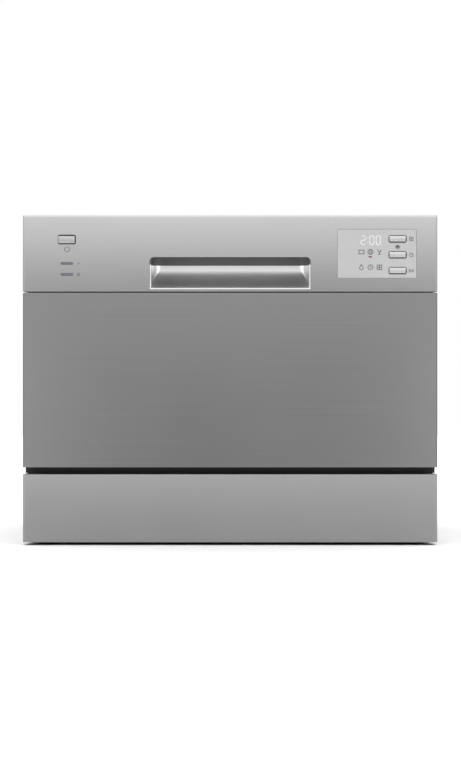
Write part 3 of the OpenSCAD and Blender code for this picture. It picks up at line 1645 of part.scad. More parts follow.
module cutlery_basket() {
    x1 = rack_w / 2 - basket_in;
    x0 = x1 - basket_w;
    y0 = rack_mid - basket_l / 2 - 30;
    y1 = y0 + basket_l;
    z0 = rack_z + long_r + fit_air;
    z1 = z0 + basket_h;
    row = (basket_h - 16) / basket_rows;
    col = (basket_l - 16) / basket_cols;
    color("lightgray")
    difference() {
        block([x0, y0, z0], [x1, y1, z1]);
        for (s = [0, 1]) block([x0 + basket_t, y0 + basket_t + s * (basket_l - basket_t) / 2,
            z0 + basket_t],
            [x1 - basket_t, y0 + (s + 1) * (basket_l - basket_t) / 2, z1 + 1]);
        for (i = [0 : basket_cols - 1], j = [0 : basket_rows - 1])
            translate([0, y0 + 8 + i * col, z0 + 8 + j * row])
                block([x0 - 1, 2, 2], [x1 + 1, col - 2, row - 2]);
        for (i = [0 : 2], j = [0 : basket_rows - 1])
            translate([x0 + 6 + i * (basket_w - 12) / 3, 0, z0 + 8 + j * row])
                block([2, y0 - 1, 2], [(basket_w - 12) / 3 - 2, y1 + 1, row - 2]);
        for (i = [0 : basket_cols - 1], j = [0 : 2])
            translate([x0 + 6 + j * (basket_w - 12) / 3, y0 + 8 + i * col, z0])
                block([2, 2, -1], [(basket_w - 12) / 3 - 2, col - 2, basket_t + 1]);
    }
}

casing();
back_panel();
base_tray();
kick_panel();
feet();
sill_strip();
tub();
door_seal();
rack_runners();
hinge_brackets();
door_springs();
latch_housing();
sump();
filter_plate();
water_heater();
wash_pump();
drain_pump();
spray_riser();
water_softener();
inlet_valve();
drain_spigot();
cord_gland();
air_break();
inner_hoses();
power_board();
sound_pads();
casing_screws();
door_skin();
control_panel();
door_liner();
handle_scoop();
finger_pocket();
display_lens();
display_board();
indicator_lights();
door_striker();
hinge_arms();
dispenser_body();
liner_screws();
power_button();
program_button();
delay_button();
start_button();
dispenser_lid();
dispenser_catch();
rinse_aid_cap();
dish_rack();
rack_fences();
rack_carriers();
plate_tines();
front_wheels();
rear_wheels();
cup_shelf_left();
cup_shelf_right();
cutlery_basket();
spray_arm();
filter_cup();
salt_cap();
overfill_float();
float_switch();
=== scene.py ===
"""Countertop dishwasher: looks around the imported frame. Lengths are in metres unless a name says mm."""
import math

import bmesh
import bpy
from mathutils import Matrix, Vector


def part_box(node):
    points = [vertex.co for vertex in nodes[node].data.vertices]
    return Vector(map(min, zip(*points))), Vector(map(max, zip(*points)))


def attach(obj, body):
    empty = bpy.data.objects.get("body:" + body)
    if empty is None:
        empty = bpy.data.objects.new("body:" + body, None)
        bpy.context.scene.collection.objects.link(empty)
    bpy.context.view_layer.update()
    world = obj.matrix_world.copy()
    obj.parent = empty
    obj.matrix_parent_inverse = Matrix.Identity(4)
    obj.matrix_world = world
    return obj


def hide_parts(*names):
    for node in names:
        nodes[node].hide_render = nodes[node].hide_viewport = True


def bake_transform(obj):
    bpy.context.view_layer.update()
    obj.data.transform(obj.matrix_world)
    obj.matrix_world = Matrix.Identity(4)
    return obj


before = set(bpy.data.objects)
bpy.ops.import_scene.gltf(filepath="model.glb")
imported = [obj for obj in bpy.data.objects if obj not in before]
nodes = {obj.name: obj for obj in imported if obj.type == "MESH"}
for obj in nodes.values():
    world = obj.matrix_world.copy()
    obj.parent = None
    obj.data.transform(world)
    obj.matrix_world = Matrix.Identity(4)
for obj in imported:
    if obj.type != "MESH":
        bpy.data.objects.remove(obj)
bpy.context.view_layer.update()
MM = 0.001

# Camera: straight on, 3 m in front of the door

FRONT_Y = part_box("control_panel")[0].y
VIEW_DISTANCE = 3.0
VIEW_HEIGHT = 1.0184
CENTRE_X = 0.0005
CENTRE_Z = 0.2139

camera_data = bpy.data.cameras.new("camera")
camera_data.sensor_fit = "VERTICAL"
camera_data.sensor_height = 36.0
camera_data.lens = 36.0 * VIEW_DISTANCE / VIEW_HEIGHT
camera = bpy.data.objects.new("camera", camera_data)
camera.location = (CENTRE_X, FRONT_Y - VIEW_DISTANCE, CENTRE_Z)
camera.rotation_euler = (math.radians(90), 0, 0)
bpy.context.scene.collection.objects.link(camera)
bpy.context.scene.camera = camera


# Materials

class Graph:
    """A material's node tree, with short ways to add nodes and links."""

    def __init__(self, name):
        self.material = bpy.data.materials.new(name)
        self.material.use_nodes = True
        self.tree = self.material.node_tree
        self.shader = self.tree.nodes["Principled BSDF"]
        self.coords = self.node("ShaderNodeTexCoord").outputs["Object"]

    def node(self, kind, **settings):
        made = self.tree.nodes.new(kind)
        for key, value in settings.items():
            setattr(made, key, value)
        return made

    def link(self, source, target):
        self.tree.links.new(source, target)

    def scaled(self, scale):
        mapping = self.node("ShaderNodeMapping")
        mapping.inputs["Scale"].default_value = scale
        self.link(self.coords, mapping.inputs["Vector"])
        return mapping.outputs["Vector"]

    def noise(self, scale, detail=3.0, stretch=(1, 1, 1)):
        made = self.node("ShaderNodeTexNoise")
        made.inputs["Scale"].default_value = scale
        made.inputs["Detail"].default_value = detail
        self.link(self.scaled(stretch), made.inputs["Vector"])
        return made.outputs["Fac"]

    def cells(self, scale):
        made = self.node("ShaderNodeTexVoronoi")
        made.inputs["Scale"].default_value = scale
        self.link(self.scaled((1, 1, 1)), made.inputs["Vector"])
        return made

    def ranged(self, source, low, high, start=0.3, stop=0.7):
        made = self.node("ShaderNodeMapRange")
        for key, value in (("From Min", start), ("From Max", stop), ("To Min", low), ("To Max", high)):
            made.inputs[key].default_value = value
        self.link(source, made.inputs["Value"])
        return made.outputs["Result"]

    def tinted(self, source, color, low, high, start=0.3, stop=0.7):
        """The colour, made darker and lighter by the source from low to high."""
        ramp = self.node("ShaderNodeValToRGB")
        ramp.color_ramp.elements[0].position = start
        ramp.color_ramp.elements[1].position = stop
        ramp.color_ramp.elements[0].color = [c * low for c in color] + [1]
        ramp.color_ramp.elements[1].color = [min(c * high, 1) for c in color] + [1]
        self.link(source, ramp.inputs["Fac"])
        return ramp.outputs["Color"]

    def bump(self, source, strength, distance, normal=None):
        made = self.node("ShaderNodeBump")
        made.inputs["Strength"].default_value = strength
        made.inputs["Distance"].default_value = distance
        self.link(source, made.inputs["Height"])
        if normal is not None:
            self.link(normal, made.inputs["Normal"])
        return made.outputs["Normal"]

    def rounded(self, radius):
        made = self.node("ShaderNodeBevel", samples=4)
        made.inputs["Radius"].default_value = radius
        return made.outputs["Normal"]

    def crown(self, box, foot, head, side, normal=None):
        """A pressed panel's slight bulge, as a normal.

        It leans up by foot and head degrees at a box's foot and head, and out by side degrees at its sides.
        """
        low, high = box
        rise = (math.tan(math.radians(head)) - math.tan(math.radians(foot))) / (high.z - low.z)
        level = low.z - math.tan(math.radians(foot)) / rise
        spread = 2 * math.tan(math.radians(side)) / (high.x - low.x)
        split = self.node("ShaderNodeSeparateXYZ")
        self.link(self.coords, split.inputs["Vector"])
        heights = []
        for axis, middle, curve in (("Z", level, rise), ("X", (low.x + high.x) / 2, spread)):
            off = self.node("ShaderNodeMath", operation="SUBTRACT")
            off.inputs[1].default_value = middle
            self.link(split.outputs[axis], off.inputs[0])
            square = self.node("ShaderNodeMath", operation="POWER")
            square.inputs[1].default_value = 2.0
            self.link(off.outputs[0], square.inputs[0])
            drop = self.node("ShaderNodeMath", operation="MULTIPLY")
            drop.inputs[1].default_value = -curve / 2
            self.link(square.outputs[0], drop.inputs[0])
            heights.append(drop.outputs[0])
        total = self.node("ShaderNodeMath", operation="ADD")
        self.link(heights[0], total.inputs[0])
        self.link(heights[1], total.inputs[1])
        return self.bump(total.outputs[0], 1.0, 1.0, normal)

    def gap_shade_band(self, box, left, foot, right, head):
        """1 within a distance (mm) of a box's four edges seen from the front, and 0 inside: the mask of the painted gap
        shade on the keys.
        """
        low, high = box
        split = self.node("ShaderNodeSeparateXYZ")
        self.link(self.coords, split.inputs["Vector"])
        limits = (("X", "LESS_THAN", low.x + left * MM), ("Z", "LESS_THAN", low.z + foot * MM),
                  ("X", "GREATER_THAN", high.x - right * MM), ("Z", "GREATER_THAN", high.z - head * MM))
        edge = None
        for axis, kind, limit in limits:
            beyond = self.node("ShaderNodeMath", operation=kind)
            beyond.inputs[1].default_value = limit
            self.link(split.outputs[axis], beyond.inputs[0])
            if edge is None:
                edge = beyond.outputs[0]
                continue
            either = self.node("ShaderNodeMath", operation="MAXIMUM")
            self.link(edge, either.inputs[0])
            self.link(beyond.outputs[0], either.inputs[1])
            edge = either.outputs[0]
        return edge

    def constants(self, **values):
        for key, value in values.items():
            self.shader.inputs[key.replace("_", " ")].default_value = value

    def into(self, socket, source):
        self.link(source, self.shader.inputs[socket])


def brushed_metal(name, color, rough, stretch, metallic=1.0, contrast=0.1, depth=2e-5, edge=0.0, crown=None):
    """Metal or metal laminate with fine lines along the short direction of stretch."""
    g = Graph(name)
    lines = g.noise(1.0, 4.0, stretch)
    clouds = g.noise(6.0, 2.0)
    g.into("Base Color", g.tinted(lines, color, 1 - contrast, 1 + contrast))
    g.into("Roughness", g.ranged(clouds, rough * 0.88, rough * 1.12))
    base = g.rounded(edge) if edge else None
    if crown:
        base = g.crown(*crown, normal=base)
    g.into("Normal", g.bump(lines, 0.25, depth, base))
    g.constants(Metallic=metallic)
    return g.material


def paint(name, color, rough, metallic=0.35, coat=0.25, flake=0.05, edge=0.0, crown=None):
    """Sprayed metallic lacquer or powder coat: fine flakes and a slight orange peel."""
    g = Graph(name)
    flakes = g.cells(5200.0).outputs["Distance"]
    peel = g.noise(420.0, 2.0)
    g.into("Base Color", g.tinted(flakes, color, 1 - flake, 1 + flake, 0.1, 0.6))
    g.into("Roughness", g.ranged(g.noise(9.0), rough * 0.9, rough * 1.1))
    base = g.rounded(edge) if edge else None
    if crown:
        base = g.crown(*crown, normal=base)
    g.into("Normal", g.bump(peel, 0.12, 3e-5, base))
    g.constants(Metallic=metallic, Coat_Weight=coat, Coat_Roughness=0.2)
    return g.material


def moulding(name, color, rough, grain=1400.0, depth=4e-5, spread=0.05, coat=0.0, edge=0.0):
    """Moulded plastic: spark-eroded grain and a faint unevenness of colour."""
    g = Graph(name)
    fine = g.noise(grain, 4.0)
    flow = g.noise(14.0, 3.0)
    g.into("Base Color", g.tinted(flow, color, 1 - spread, 1 + spread))
    g.into("Roughness", g.ranged(fine, rough * 0.85, min(rough * 1.15, 1.0)))
    base = g.rounded(edge) if edge else None
    g.into("Normal", g.bump(fine, 0.35, depth, base))
    g.constants(Coat_Weight=coat, Coat_Roughness=0.08)
    return g.material


def corners(points):
    """The low and high corner of a set of points."""
    return [Vector([pick(point[i] for point in points) for i in range(3)]) for pick in (min, max)]


def face_box(node):
    """The box of a node's foremost face, without the flange behind it."""
    points = [vertex.co for vertex in nodes[node].data.vertices]
    front = min(point.y for point in points) + MM
    return corners([point for point in points if point.y < front])


# painted shade: the dark line along each key's edge stands for the shaded gap round the key
GAP_SHADE_COLOR = (0.03, 0.03, 0.03, 1)


def key_with_gap_shade(name, color, gap_shade_band, rough):
    """A metallized key with painted shade: a dark line (left, foot, right, head, in mm) along the edge of its face, for
    the shaded gap round the key.
    """
    g = Graph(name + "_silver")
    box = face_box(name)
    mix = g.node("ShaderNodeMix", data_type="RGBA")
    mix.inputs["B"].default_value = GAP_SHADE_COLOR
    g.link(g.gap_shade_band(box, *gap_shade_band), mix.inputs["Factor"])
    g.link(g.tinted(g.noise(700.0), color, 0.97, 1.03), mix.inputs["A"])
    g.into("Base Color", mix.outputs["Result"])
    g.into("Roughness", g.ranged(g.noise(9.0), rough * 0.9, rough * 1.1))
    base = g.crown(box, -6, 12, 3, g.rounded(4e-4))
    g.into("Normal", g.bump(g.noise(420.0, 2.0), 0.12, 1e-5, base))
    g.constants(Metallic=0.6, Coat_Weight=0.1, Coat_Roughness=0.2)
    return g.material


def bright_scoop(name, color, rough, box):
    """Satin chrome on a moulded scoop, with a trace of flow marks."""
    g = Graph(name)
    flow = g.noise(30.0, 2.0, (0.3, 1, 1))
    g.into("Base Color", g.tinted(flow, color, 0.99, 1.01))
    g.into("Roughness", g.ranged(flow, rough * 0.97, rough * 1.03))
    g.into("Normal", g.bump(g.noise(500.0, 1.0), 0.1, 2e-6, g.crown(box, 6, -3, 0)))
    g.constants(Metallic=1.0)
    return g.material


def zinc_plate(name):
    """Zinc-plated steel with pale spangles and dull blotches."""
    g = Graph(name)
    spangle = g.cells(160.0).outputs["Color"]
    blotch = g.noise(22.0, 4.0)
    mix = g.node("ShaderNodeMix", data_type="RGBA", blend_type="MULTIPLY")
    mix.inputs["Factor"].default_value = 0.16
    g.link(g.tinted(blotch, (0.60, 0.61, 0.62), 0.86, 1.1), mix.inputs["A"])
    g.link(spangle, mix.inputs["B"])
    g.into("Base Color", mix.outputs["Result"])
    g.into("Roughness", g.ranged(blotch, 0.32, 0.5))
    g.into("Normal", g.bump(g.noise(900.0, 3.0), 0.2, 2e-5))
    g.constants(Metallic=0.9)
    return g.material


def circuit(name):
    """Green solder resist over tracks, with a weave of glass cloth under it."""
    g = Graph(name)
    tracks = g.node("ShaderNodeTexBrick")
    for key, value in (("Scale", 220.0), ("Mortar Size", 0.035), ("Bias", 0.1)):
        tracks.inputs[key].default_value = value
    tracks.inputs["Color1"].default_value = (0.02, 0.16, 0.06, 1)
    tracks.inputs["Color2"].default_value = (0.03, 0.21, 0.09, 1)
    tracks.inputs["Mortar"].default_value = (0.10, 0.36, 0.14, 1)
    g.link(g.scaled((1, 1, 1)), tracks.inputs["Vector"])
    g.into("Base Color", tracks.outputs["Color"])
    g.into("Roughness", g.ranged(g.noise(80.0), 0.3, 0.42))
    g.into("Normal", g.bump(tracks.outputs["Fac"], 0.5, 3e-5))
    return g.material


def felt(name, color):
    """Bitumen pad with a short felt nap."""
    g = Graph(name)
    fibres = g.noise(2600.0, 5.0, (1, 1, 0.4))
    g.into("Base Color", g.tinted(fibres, color, 0.6, 1.5))
    g.into("Roughness", g.ranged(fibres, 0.85, 1.0))
    g.into("Normal", g.bump(fibres, 0.8, 2e-4))
    g.constants(Sheen_Weight=0.3)
    return g.material


def lit(name, color, strength):
    """A printed or lit mark behind the clear front; the dark one also serves as painted shade in the screw heads."""
    g = Graph(name)
    g.into("Base Color", g.tinted(g.noise(700.0), color, 0.92, 1.05))
    g.constants(Roughness=0.4, Emission_Strength=strength)
    g.shader.inputs["Emission Color"].default_value = list(color) + [1]
    return g.material


# stretches that draw the brushed lines along an axis
ALONG_X = (4.0, 4.0, 2600.0)
ALONG_Y = (1800.0, 5.0, 1800.0)

steel_paint = paint("casing_paint", (0.33, 0.335, 0.34), 0.42, 0.4, 0.15)
zinc = zinc_plate("zinc_plate")
black_moulding = moulding("black_moulding", (0.022, 0.022, 0.024), 0.5)
kick_paint = paint("kick_paint", (0.25, 0.25, 0.25), 0.38, 0.7, 0.2, edge=6e-4,
                   crown=(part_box("kick_panel"), 2, 13, 1))
sill_black = moulding("sill_black", (0.006, 0.006, 0.007), 0.45)
tub_steel = brushed_metal("tub_steel", (0.62, 0.62, 0.61), 0.3, ALONG_Y)
liner_steel = brushed_metal("liner_steel", (0.62, 0.62, 0.61), 0.28, ALONG_X)
part_steel = brushed_metal("part_steel", (0.60, 0.60, 0.59), 0.26, ALONG_X)
seal_rubber = moulding("seal_rubber", (0.02, 0.02, 0.021), 0.62, 900.0, 6e-5)
white_plastic = moulding("white_plastic", (0.70, 0.70, 0.67), 0.45)
grey_plastic = moulding("grey_plastic", (0.30, 0.31, 0.32), 0.48)
pump_plastic = moulding("pump_plastic", (0.045, 0.045, 0.048), 0.5)
board_green = circuit("board_green")
pad_felt = felt("pad_felt", (0.03, 0.03, 0.032))
panel_metal = brushed_metal("panel_metal", (0.325, 0.325, 0.325), 0.32, ALONG_X, 0.8, 0.035, 6e-6, 5e-4,
                            (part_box("control_panel"), 3, 16, 1))
door_laminate = brushed_metal("door_laminate", (0.172, 0.172, 0.172), 0.4, ALONG_X, 0.8, 0.09, 1e-5, 4e-4,
                              (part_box("door_skin"), 3, 12, 12))
scoop_silver = bright_scoop("scoop_silver", (0.94, 0.94, 0.94), 0.33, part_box("handle_scoop"))
pocket_plastic = moulding("pocket_plastic", (0.1, 0.1, 0.1), 0.4)
lens_clear = moulding("lens_clear", (0.41, 0.41, 0.41), 0.22, 300.0, 1e-5, 0.02, 0.8, 4e-4)
light_violet = moulding("light_violet", (0.135, 0.125, 0.155), 0.25, 400.0, 1e-5, 0.06, 0.6)
# each key carries painted shade of the gap round it along its edges
power_silver = key_with_gap_shade("power_button", (0.46, 0.46, 0.46), (0, 0.9, 0.9, 1.3), 0.28)
key_silver = {key: key_with_gap_shade(key, (0.56, 0.56, 0.56), (0.5, 0.9, 0.7, 0.4), 0.28)
              for key in ("program_button", "delay_button", "start_button")}
cap_blue = moulding("cap_blue", (0.03, 0.14, 0.36), 0.42)
nylon_coat = moulding("nylon_coat", (0.30, 0.34, 0.40), 0.38, 2200.0, 3e-5, 0.06, 0.15)
mark_dark = lit("mark_dark", (0.05, 0.05, 0.053), 0.0)
mark_grey = lit("mark_grey", (0.16, 0.16, 0.165), 0.0)
mark_white = lit("mark_white", (0.62, 0.62, 0.62), 0.0)
mark_red = lit("mark_red", (0.16, 0.02, 0.03), 0.05)

FINISH = {
    "casing": steel_paint, "back_panel": zinc, "base_tray": black_moulding, "feet": black_moulding,
    "kick_panel": kick_paint, "sill_strip": sill_black, "tub": tub_steel, "door_seal": seal_rubber,
    "rack_runners": part_steel, "hinge_brackets": zinc, "door_springs": zinc,
    "latch_housing": black_moulding, "sump": white_plastic, "filter_plate": part_steel,
    "water_heater": part_steel, "wash_pump": pump_plastic, "drain_pump": pump_plastic, "spray_riser": grey_plastic,
    "water_softener": white_plastic, "inlet_valve": white_plastic, "drain_spigot": grey_plastic,
    "cord_gland": black_moulding, "air_break": white_plastic, "inner_hoses": grey_plastic,
    "power_board": board_green, "sound_pads": pad_felt, "casing_screws": zinc,
    "float_switch": grey_plastic, "door_skin": door_laminate, "control_panel": panel_metal,
    "door_liner": liner_steel, "handle_scoop": scoop_silver, "finger_pocket": pocket_plastic,
    "display_lens": lens_clear, "display_board": board_green, "indicator_lights": light_violet,
    "door_striker": zinc, "hinge_arms": zinc, "dispenser_body": white_plastic, "liner_screws": zinc,
    "power_button": power_silver, **key_silver,
    "dispenser_lid": grey_plastic, "dispenser_catch": grey_plastic,
    "rinse_aid_cap": cap_blue, "dish_rack": nylon_coat, "rack_fences": nylon_coat,
    "rack_carriers": grey_plastic, "plate_tines": nylon_coat, "front_wheels": nylon_coat,
    "rear_wheels": nylon_coat, "cup_shelf_left": nylon_coat, "cup_shelf_right": nylon_coat,
    "cutlery_basket": grey_plastic, "spray_arm": part_steel, "filter_cup": grey_plastic,
    "salt_cap": white_plastic, "overfill_float": white_plastic,
}
for node_name, finish in FINISH.items():
    mesh = nodes[node_name].data
    mesh.materials.clear()
    mesh.materials.append(finish)


# Flat marks on the front

MARK_T = 0.00005


def strip(points, width, closed=False):
    """Quads that follow a line of points (X, Z) at a width, with mitred corners."""
    n = len(points)
    sides = []
    for i, p in enumerate(points):
        here = Vector(p)
        steps = []
        if closed or i > 0:
            steps.append((here - Vector(points[i - 1])).normalized())
        if closed or i < n - 1:
            steps.append((Vector(points[(i + 1) % n]) - here).normalized())
        normals = [Vector((-v.y, v.x)) for v in steps]
        out = sum(normals, Vector((0, 0))).normalized()
        reach = width / 2 / max(out.dot(normals[0]), 0.4)
        sides.append((here + out * reach, here - out * reach))
    last = n if closed else n - 1
    return [[sides[i][0], sides[(i + 1) % n][0], sides[(i + 1) % n][1], sides[i][1]] for i in range(last)]


def arc(x, z, r, start, stop, steps=24):
    """Points on a circle from one angle to another, in degrees."""
    return [(x + r * math.cos(math.radians(start + (stop - start) * i / steps)),
             z + r * math.sin(math.radians(start + (stop - start) * i / steps))) for i in range(steps + 1)]


def rectangle(x, z, w, h):
    """One quad about a centre."""
    return [[(x - w / 2, z - h / 2), (x + w / 2, z - h / 2), (x + w / 2, z + h / 2), (x - w / 2, z + h / 2)]]


def piece_from(bm, name, material):
    """An object in the scene from a finished mesh."""
    mesh = bpy.data.meshes.new(name)
    bm.to_mesh(mesh)
    bm.free()
    mesh.materials.append(material)
    piece = bpy.data.objects.new(name, mesh)
    bpy.context.scene.collection.objects.link(piece)
    return piece


def mark(name, polygons, y, body, material, thickness=MARK_T):
    """A thin raised print or piece of painted shade, drawn in millimetres (X, Z), that stands out from y to the front,
    or to the back below 0.
    """
    bm = bmesh.new()
    for polygon in polygons:
        back = [bm.verts.new((p[0] * MM, y, p[1] * MM)) for p in polygon]
        front = [bm.verts.new((p[0] * MM, y - thickness, p[1] * MM)) for p in polygon]
        bm.faces.new(back)
        bm.faces.new(front[::-1])
        for i in range(len(polygon)):
            j = (i + 1) % len(polygon)
            bm.faces.new((back[j], back[i], front[i], front[j]))
    bmesh.ops.recalc_face_normals(bm, faces=bm.faces)
    piece = piece_from(bm, name, material)
    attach(piece, body)


# centre (as shares of half the width and height) of each segment, and 1 where it lies flat
SEGMENTS = {"a": (0, 1, 1), "d": (0, -1, 1), "g": (0, 0, 1),
            "b": (1, 0.5, 0), "c": (1, -0.5, 0), "f": (-1, 0.5, 0), "e": (-1, -0.5, 0)}
DIGITS = {"0": "abcdef", "2": "abged"}


def digit(x, z, w, h, t, figure):
    """A seven-segment figure about a centre."""
    shapes = []
    for key in DIGITS[figure]:
        sx, sz, flat = SEGMENTS[key]
        cx, cz = x + sx * (w - t) / 2, z + sz * (h - t) / 2
        long_side = w - 1.6 * t if flat else h / 2 - 1.1 * t
        a, b = (long_side / 2, t / 2) if flat else (t / 2, long_side / 2)
        tip = t * 0.35
        if flat:
            shapes.append([(cx - a, cz), (cx - a + tip, cz - b), (cx + a - tip, cz - b),
                           (cx + a, cz), (cx + a - tip, cz + b), (cx - a + tip, cz + b)])
        else:
            shapes.append([(cx, cz - b), (cx + a, cz - b + tip), (cx + a, cz + b - tip),
                           (cx, cz + b), (cx - a, cz + b - tip), (cx - a, cz - b + tip)])
    return shapes


def box_mm(node):
    """Left, foot, right and head of a node seen from the front, in millimetres."""
    low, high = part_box(node)
    return low.x / MM, low.z / MM, high.x / MM, high.z / MM


def placed(symbols):
    """Symbols drawn about 0, 0, made larger and moved to their centres, in one list of polygons."""
    return [[(x + px * size, z + pz * size) for px, pz in polygon]
            for shape, x, z, size in symbols for polygon in shape]


# generic symbols, drawn about 0, 0 in millimetres
THIN = 0.5
LINE = 0.55
BOLD = 0.6
ROUND = 337.5
POWER = strip(arc(0, 0, 2.9, 125, 415), LINE) + strip([(0, 0.6), (0, 3.7)], LINE)
RINSE = [q for angle in (0, 60, 120) for q in strip(arc(0, 0, 1.7, angle + 180, angle, 1), 0.45)]
SALT = strip([(-1.5, 1.5), (1.5, 1.5), (1.5, -1.5), (-1.5, -1.5)], THIN, True) + strip([(-0.7, 0), (0.7, 0)], BOLD)
POT = strip([(-2.2, 1), (-2.2, -1.8), (2.2, -1.8), (2.2, 1)], BOLD) + strip([(-2.8, 1.4), (2.8, 1.4)], BOLD)
PLATE = strip(arc(0, 0, 2.3, 0, ROUND, 15), BOLD, True) + strip(arc(0, 0, 1.1, 0, ROUND, 15), THIN, True)
GLASS = (strip([(-1.5, 2.3), (-1.1, 0), (1.1, 0), (1.5, 2.3)], LINE) + strip([(0, 0), (0, -2)], LINE)
         + strip([(-1.4, -2.2), (1.4, -2.2)], LINE))
DROP = strip([(0, 2.4)] + arc(0, -0.6, 1.6, 40, -220, 14), LINE, True)
CLOCK = strip(arc(0, 0, 2.2, 0, ROUND, 15), LINE, True) + strip([(0, 1.4), (0, 0), (1.1, 0)], THIN)
GRID = (strip([(-2, -2), (2, -2), (2, 2), (-2, 2)], LINE, True) + strip([(-2, 0), (2, 0)], THIN)
        + strip([(0, -2), (0, 2)], THIN))
PLAY = (strip([(-2.4, -1.8), (-0.2, 0), (-2.4, 1.8)], LINE, True) + strip([(1, -1.8), (1, 1.8)], BOLD)
        + strip([(2.2, -1.8), (2.2, 1.8)], BOLD))
DOME = [arc(0, 0.4, 3.0, 0, 180, 10)] + strip([(-3.4, -0.4), (3.4, -0.4)], 0.8) + strip([(-1.2, -1.6), (1.2, -1.6)], 0.8)

PANEL_Y = FRONT_Y
LENS_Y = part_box("display_lens")[0].y

# the power symbol under its key and the two faint marks beside the indicator lights
POWER_RIGHT = 0.4
POWER_DROP = 5.2
POWER_SIZE = 1.2
left, foot, right, head = box_mm("power_button")
power = [(POWER, (left + right) / 2 + POWER_RIGHT, foot - POWER_DROP, POWER_SIZE)]
mark("power_symbol", placed(power), PANEL_Y, "door", mark_dark)

LAMP_GAP = 7.6
left, foot, right, head = box_mm("indicator_lights")
mark("rinse_symbol", placed([(RINSE, right + LAMP_GAP, head - 1.6, 1)]), PANEL_Y, "door", mark_grey)
mark("salt_symbol", placed([(SALT, right + LAMP_GAP, foot + 1.5, 1)]), PANEL_Y, "door", mark_dark)

# figures and symbols on the display, measured from the head and the left of its lens
ROWS = 14.4, 29.8, 50.3
COLUMNS = 31.7, 43.7, 55.6
FIGURES = ("2", 34.1), ("0", 45.5), ("0", 54.1)
FIGURE_W = 6.6
FIGURE_H = 12.6
FIGURE_LINE = 1.15
COLON = 39.7
DOT = 1.1
SYMBOL_SIZE = 1.5
left, foot, right, head = box_mm("display_lens")
row_z = [head - drop for drop in ROWS]
column_x = [left + along for along in COLUMNS]
figures = [q for figure, along in FIGURES
           for q in digit(left + along, row_z[0], FIGURE_W, FIGURE_H, FIGURE_LINE, figure)]
colon = [q for rise in (2.9, -2.7) for q in rectangle(left + COLON, row_z[0] + rise, DOT, DOT)]
mark("time_figures", figures + colon, LENS_Y, "door", mark_white)
SHAPES = ((POT, PLATE, GLASS), (DROP, CLOCK, GRID))
programmes = [(shape, x, z, SYMBOL_SIZE) for row, z in zip(SHAPES, row_z[1:]) for shape, x in zip(row, column_x)]
mark("programme_symbols", placed(programmes), LENS_Y, "door", mark_dark)
lamp = rectangle(column_x[1] - 0.3, row_z[1] - 6.6, 4.6, 1.7)
mark("program_lamp", lamp, LENS_Y, "door", mark_red)

# symbols beside the three keys, and the one under the first
KEYS = ("program_button", GRID), ("delay_button", CLOCK), ("start_button", PLAY)
BESIDE_GAP = 5.1
BESIDE_SIZE = 1.15
UNDER_GAP = 5.4
beside = []
for key, shape in KEYS:
    left, foot, right, head = box_mm(key)
    beside.append((shape, right + BESIDE_GAP, (foot + head) / 2, BESIDE_SIZE))
mark("key_symbols", placed(beside), LENS_Y, "door", mark_dark)
left, foot, right, head = box_mm("program_button")
dish = [(DOME, (left + right) / 2, foot - UNDER_GAP, 1)]
mark("dish_symbol", placed(dish), LENS_Y, "door", mark_dark)

# Painted shade: black blocks at the sill strip's ends that fill the shaded gap up to the casing's sides

SILL_GAP_SHADE_X = 273.05
SILL_GAP_SHADE_Z = 98.75
SILL_GAP_SHADE_W = 3.1
SILL_GAP_SHADE_H = 8.5
SILL_GAP_SHADE_Y = -0.2122
SILL_GAP_SHADE_DEPTH = 0.0032
sill_gap_shade = [q for side in (-1, 1) for q in rectangle(side * SILL_GAP_SHADE_X, SILL_GAP_SHADE_Z, SILL_GAP_SHADE_W, SILL_GAP_SHADE_H)]
mark("sill_gap_shade", sill_gap_shade, SILL_GAP_SHADE_Y, "cabinet", sill_black, -SILL_GAP_SHADE_DEPTH)


# Painted shade: dark flat crosses on the screw heads that stand in for their shaded cross recesses, at the back and on
# the open door

def islands(node):
    """The boxes of a node's loose parts."""
    bm = bmesh.new()
    bm.from_mesh(nodes[node].data)
    bmesh.ops.remove_doubles(bm, verts=bm.verts, dist=1e-6)
    left, boxes = set(bm.verts), []
    while left:
        queue = [left.pop()]
        part = []
        while queue:
            vertex = queue.pop()
            part.append(vertex.co.copy())
            for edge in vertex.link_edges:
                other = edge.other_vert(vertex)
                if other in left:
                    left.remove(other)
                    queue.append(other)
        boxes.append(corners(part))
    bm.free()
    return sorted(boxes, key=lambda box: tuple(round(c, 5) for c in box[0]))


def cross(x, z, size, width):
    """A plus sign about a centre, as one outline."""
    a, b = size / 2, width / 2
    return [(x + px, z + pz) for px, pz in ((-a, -b), (-b, -b), (-b, -a), (b, -a), (b, -b), (a, -b),
                                            (a, b), (b, b), (b, a), (-b, a), (-b, b), (-a, b))]


RECESS_SHADE = 3.6
RECESS_SHADE_LINE = 0.9
for screws, body in (("casing_screws", "cabinet"), ("liner_screws", "door")):
    heads = islands(screws)
    recess_shades = [cross((low.x + high.x) / 2 / MM, (low.z + high.z) / 2 / MM, RECESS_SHADE, RECESS_SHADE_LINE) for low, high in heads]
    # painted shade: each dark cross stands for the shade in a screw's cross recess
    mark(screws + "_recess_shade", recess_shades, max(high.y for low, high in heads), body, mark_dark, -MARK_T)


# Wound door springs, in place of the plain rods

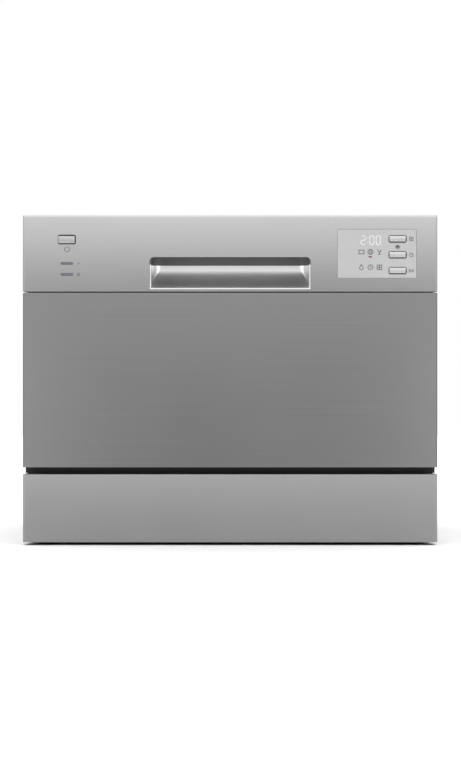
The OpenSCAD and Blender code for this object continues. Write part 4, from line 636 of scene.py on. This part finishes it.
def coil_spring(name, x, y0, y1, z, radius, wire):
    """A tension spring along Y with closed coils and a straight hook end at each side."""
    turns = int((y1 - y0 - 2 * radius) / (wire * 2.15))
    steps, sides = 14, 6
    path = [Vector((x, y0, z))]
    for i in range(turns * steps + 1):
        t = 2 * math.pi * i / steps
        y = y0 + radius + (y1 - y0 - 2 * radius) * i / (turns * steps)
        path.append(Vector((x + radius * math.sin(t), y, z + radius * math.cos(t))))
    path.append(Vector((x, y1, z)))
    bm = bmesh.new()
    rings = []
    for i, p in enumerate(path):
        ahead = (path[min(i + 1, len(path) - 1)] - path[max(i - 1, 0)]).normalized()
        side = ahead.cross(Vector((0, 1, 0.001))).normalized()
        other = ahead.cross(side).normalized()
        angles = [2 * math.pi * k / sides for k in range(sides)]
        rings.append([bm.verts.new(p + wire * (side * math.cos(t) + other * math.sin(t))) for t in angles])
    for a, b in zip(rings, rings[1:]):
        for k in range(sides):
            bm.faces.new((a[k], a[(k + 1) % sides], b[(k + 1) % sides], b[k]))
    bm.faces.new(rings[0][::-1])
    bm.faces.new(rings[-1])
    bmesh.ops.recalc_face_normals(bm, faces=bm.faces)
    piece = piece_from(bm, name, zinc)
    piece.data.shade_smooth()
    return piece


low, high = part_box("door_springs")
SPRING_R = (high.z - low.z) / 2
SPRING_WIRE = 0.0008
for side_name, side_x in (("left", low.x + SPRING_R), ("right", high.x - SPRING_R)):
    spring = coil_spring("door_spring_" + side_name, side_x, low.y, high.y, (low.z + high.z) / 2,
                         SPRING_R - SPRING_WIRE, SPRING_WIRE)
    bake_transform(spring)
    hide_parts("door_springs")


# Floor and light

def area_light(name, place, target, width, height, power):
    data = bpy.data.lights.new(name, "AREA")
    data.shape = "RECTANGLE"
    data.size, data.size_y, data.energy = width, height, power
    made = bpy.data.objects.new(name, data)
    made.location = place
    made.rotation_euler = (Vector(target) - Vector(place)).to_track_quat("-Z", "Y").to_euler()
    bpy.context.scene.collection.objects.link(made)


FLOOR = 6.0
floor_corners = [(-FLOOR, -FLOOR, 0), (FLOOR, -FLOOR, 0), (FLOOR, FLOOR, 0), (-FLOOR, FLOOR, 0)]
floor_mesh = bpy.data.meshes.new("floor")
floor_mesh.from_pydata(floor_corners, [], [(0, 1, 2, 3)])
floor = bpy.data.objects.new("floor", floor_mesh)
bpy.context.scene.collection.objects.link(floor)
floor_mesh.materials.append(moulding("floor_white", (0.66, 0.66, 0.66), 0.9, 60.0, 1e-5, 0.01))

# a studio that brightens with height, and that looks plain white behind the machine
SKY_LOW = 0.25
SKY_HIGH = 2.4
SKY_FROM = 0.05
SKY_TO = 0.7
world = bpy.data.worlds.new("studio")
world.use_nodes = True
sky = world.node_tree
background = sky.nodes["Background"]
background.inputs["Color"].default_value = (1, 1, 1, 1)
seen = sky.nodes.new("ShaderNodeLightPath")
place = sky.nodes.new("ShaderNodeTexCoord")
height = sky.nodes.new("ShaderNodeSeparateXYZ")
sky.links.new(place.outputs["Generated"], height.inputs["Vector"])
glow = sky.nodes.new("ShaderNodeMapRange")
for key, value in (("From Min", SKY_FROM), ("From Max", SKY_TO), ("To Min", SKY_LOW), ("To Max", SKY_HIGH)):
    glow.inputs[key].default_value = value
sky.links.new(height.outputs["Z"], glow.inputs["Value"])
level = sky.nodes.new("ShaderNodeMix")
level.inputs["B"].default_value = 1.0
sky.links.new(seen.outputs["Is Camera Ray"], level.inputs["Factor"])
sky.links.new(glow.outputs["Result"], level.inputs["A"])
sky.links.new(level.outputs["Result"], background.inputs["Strength"])
bpy.context.scene.world = world
bpy.context.scene.view_settings.view_transform = "Standard"
for box_name, side in (("left_box", -1), ("right_box", 1)):
    area_light(box_name, (side * 0.8, -0.85, 0.25), (side * 0.27, -0.25, 0.22), 0.3, 0.6, 1.0)
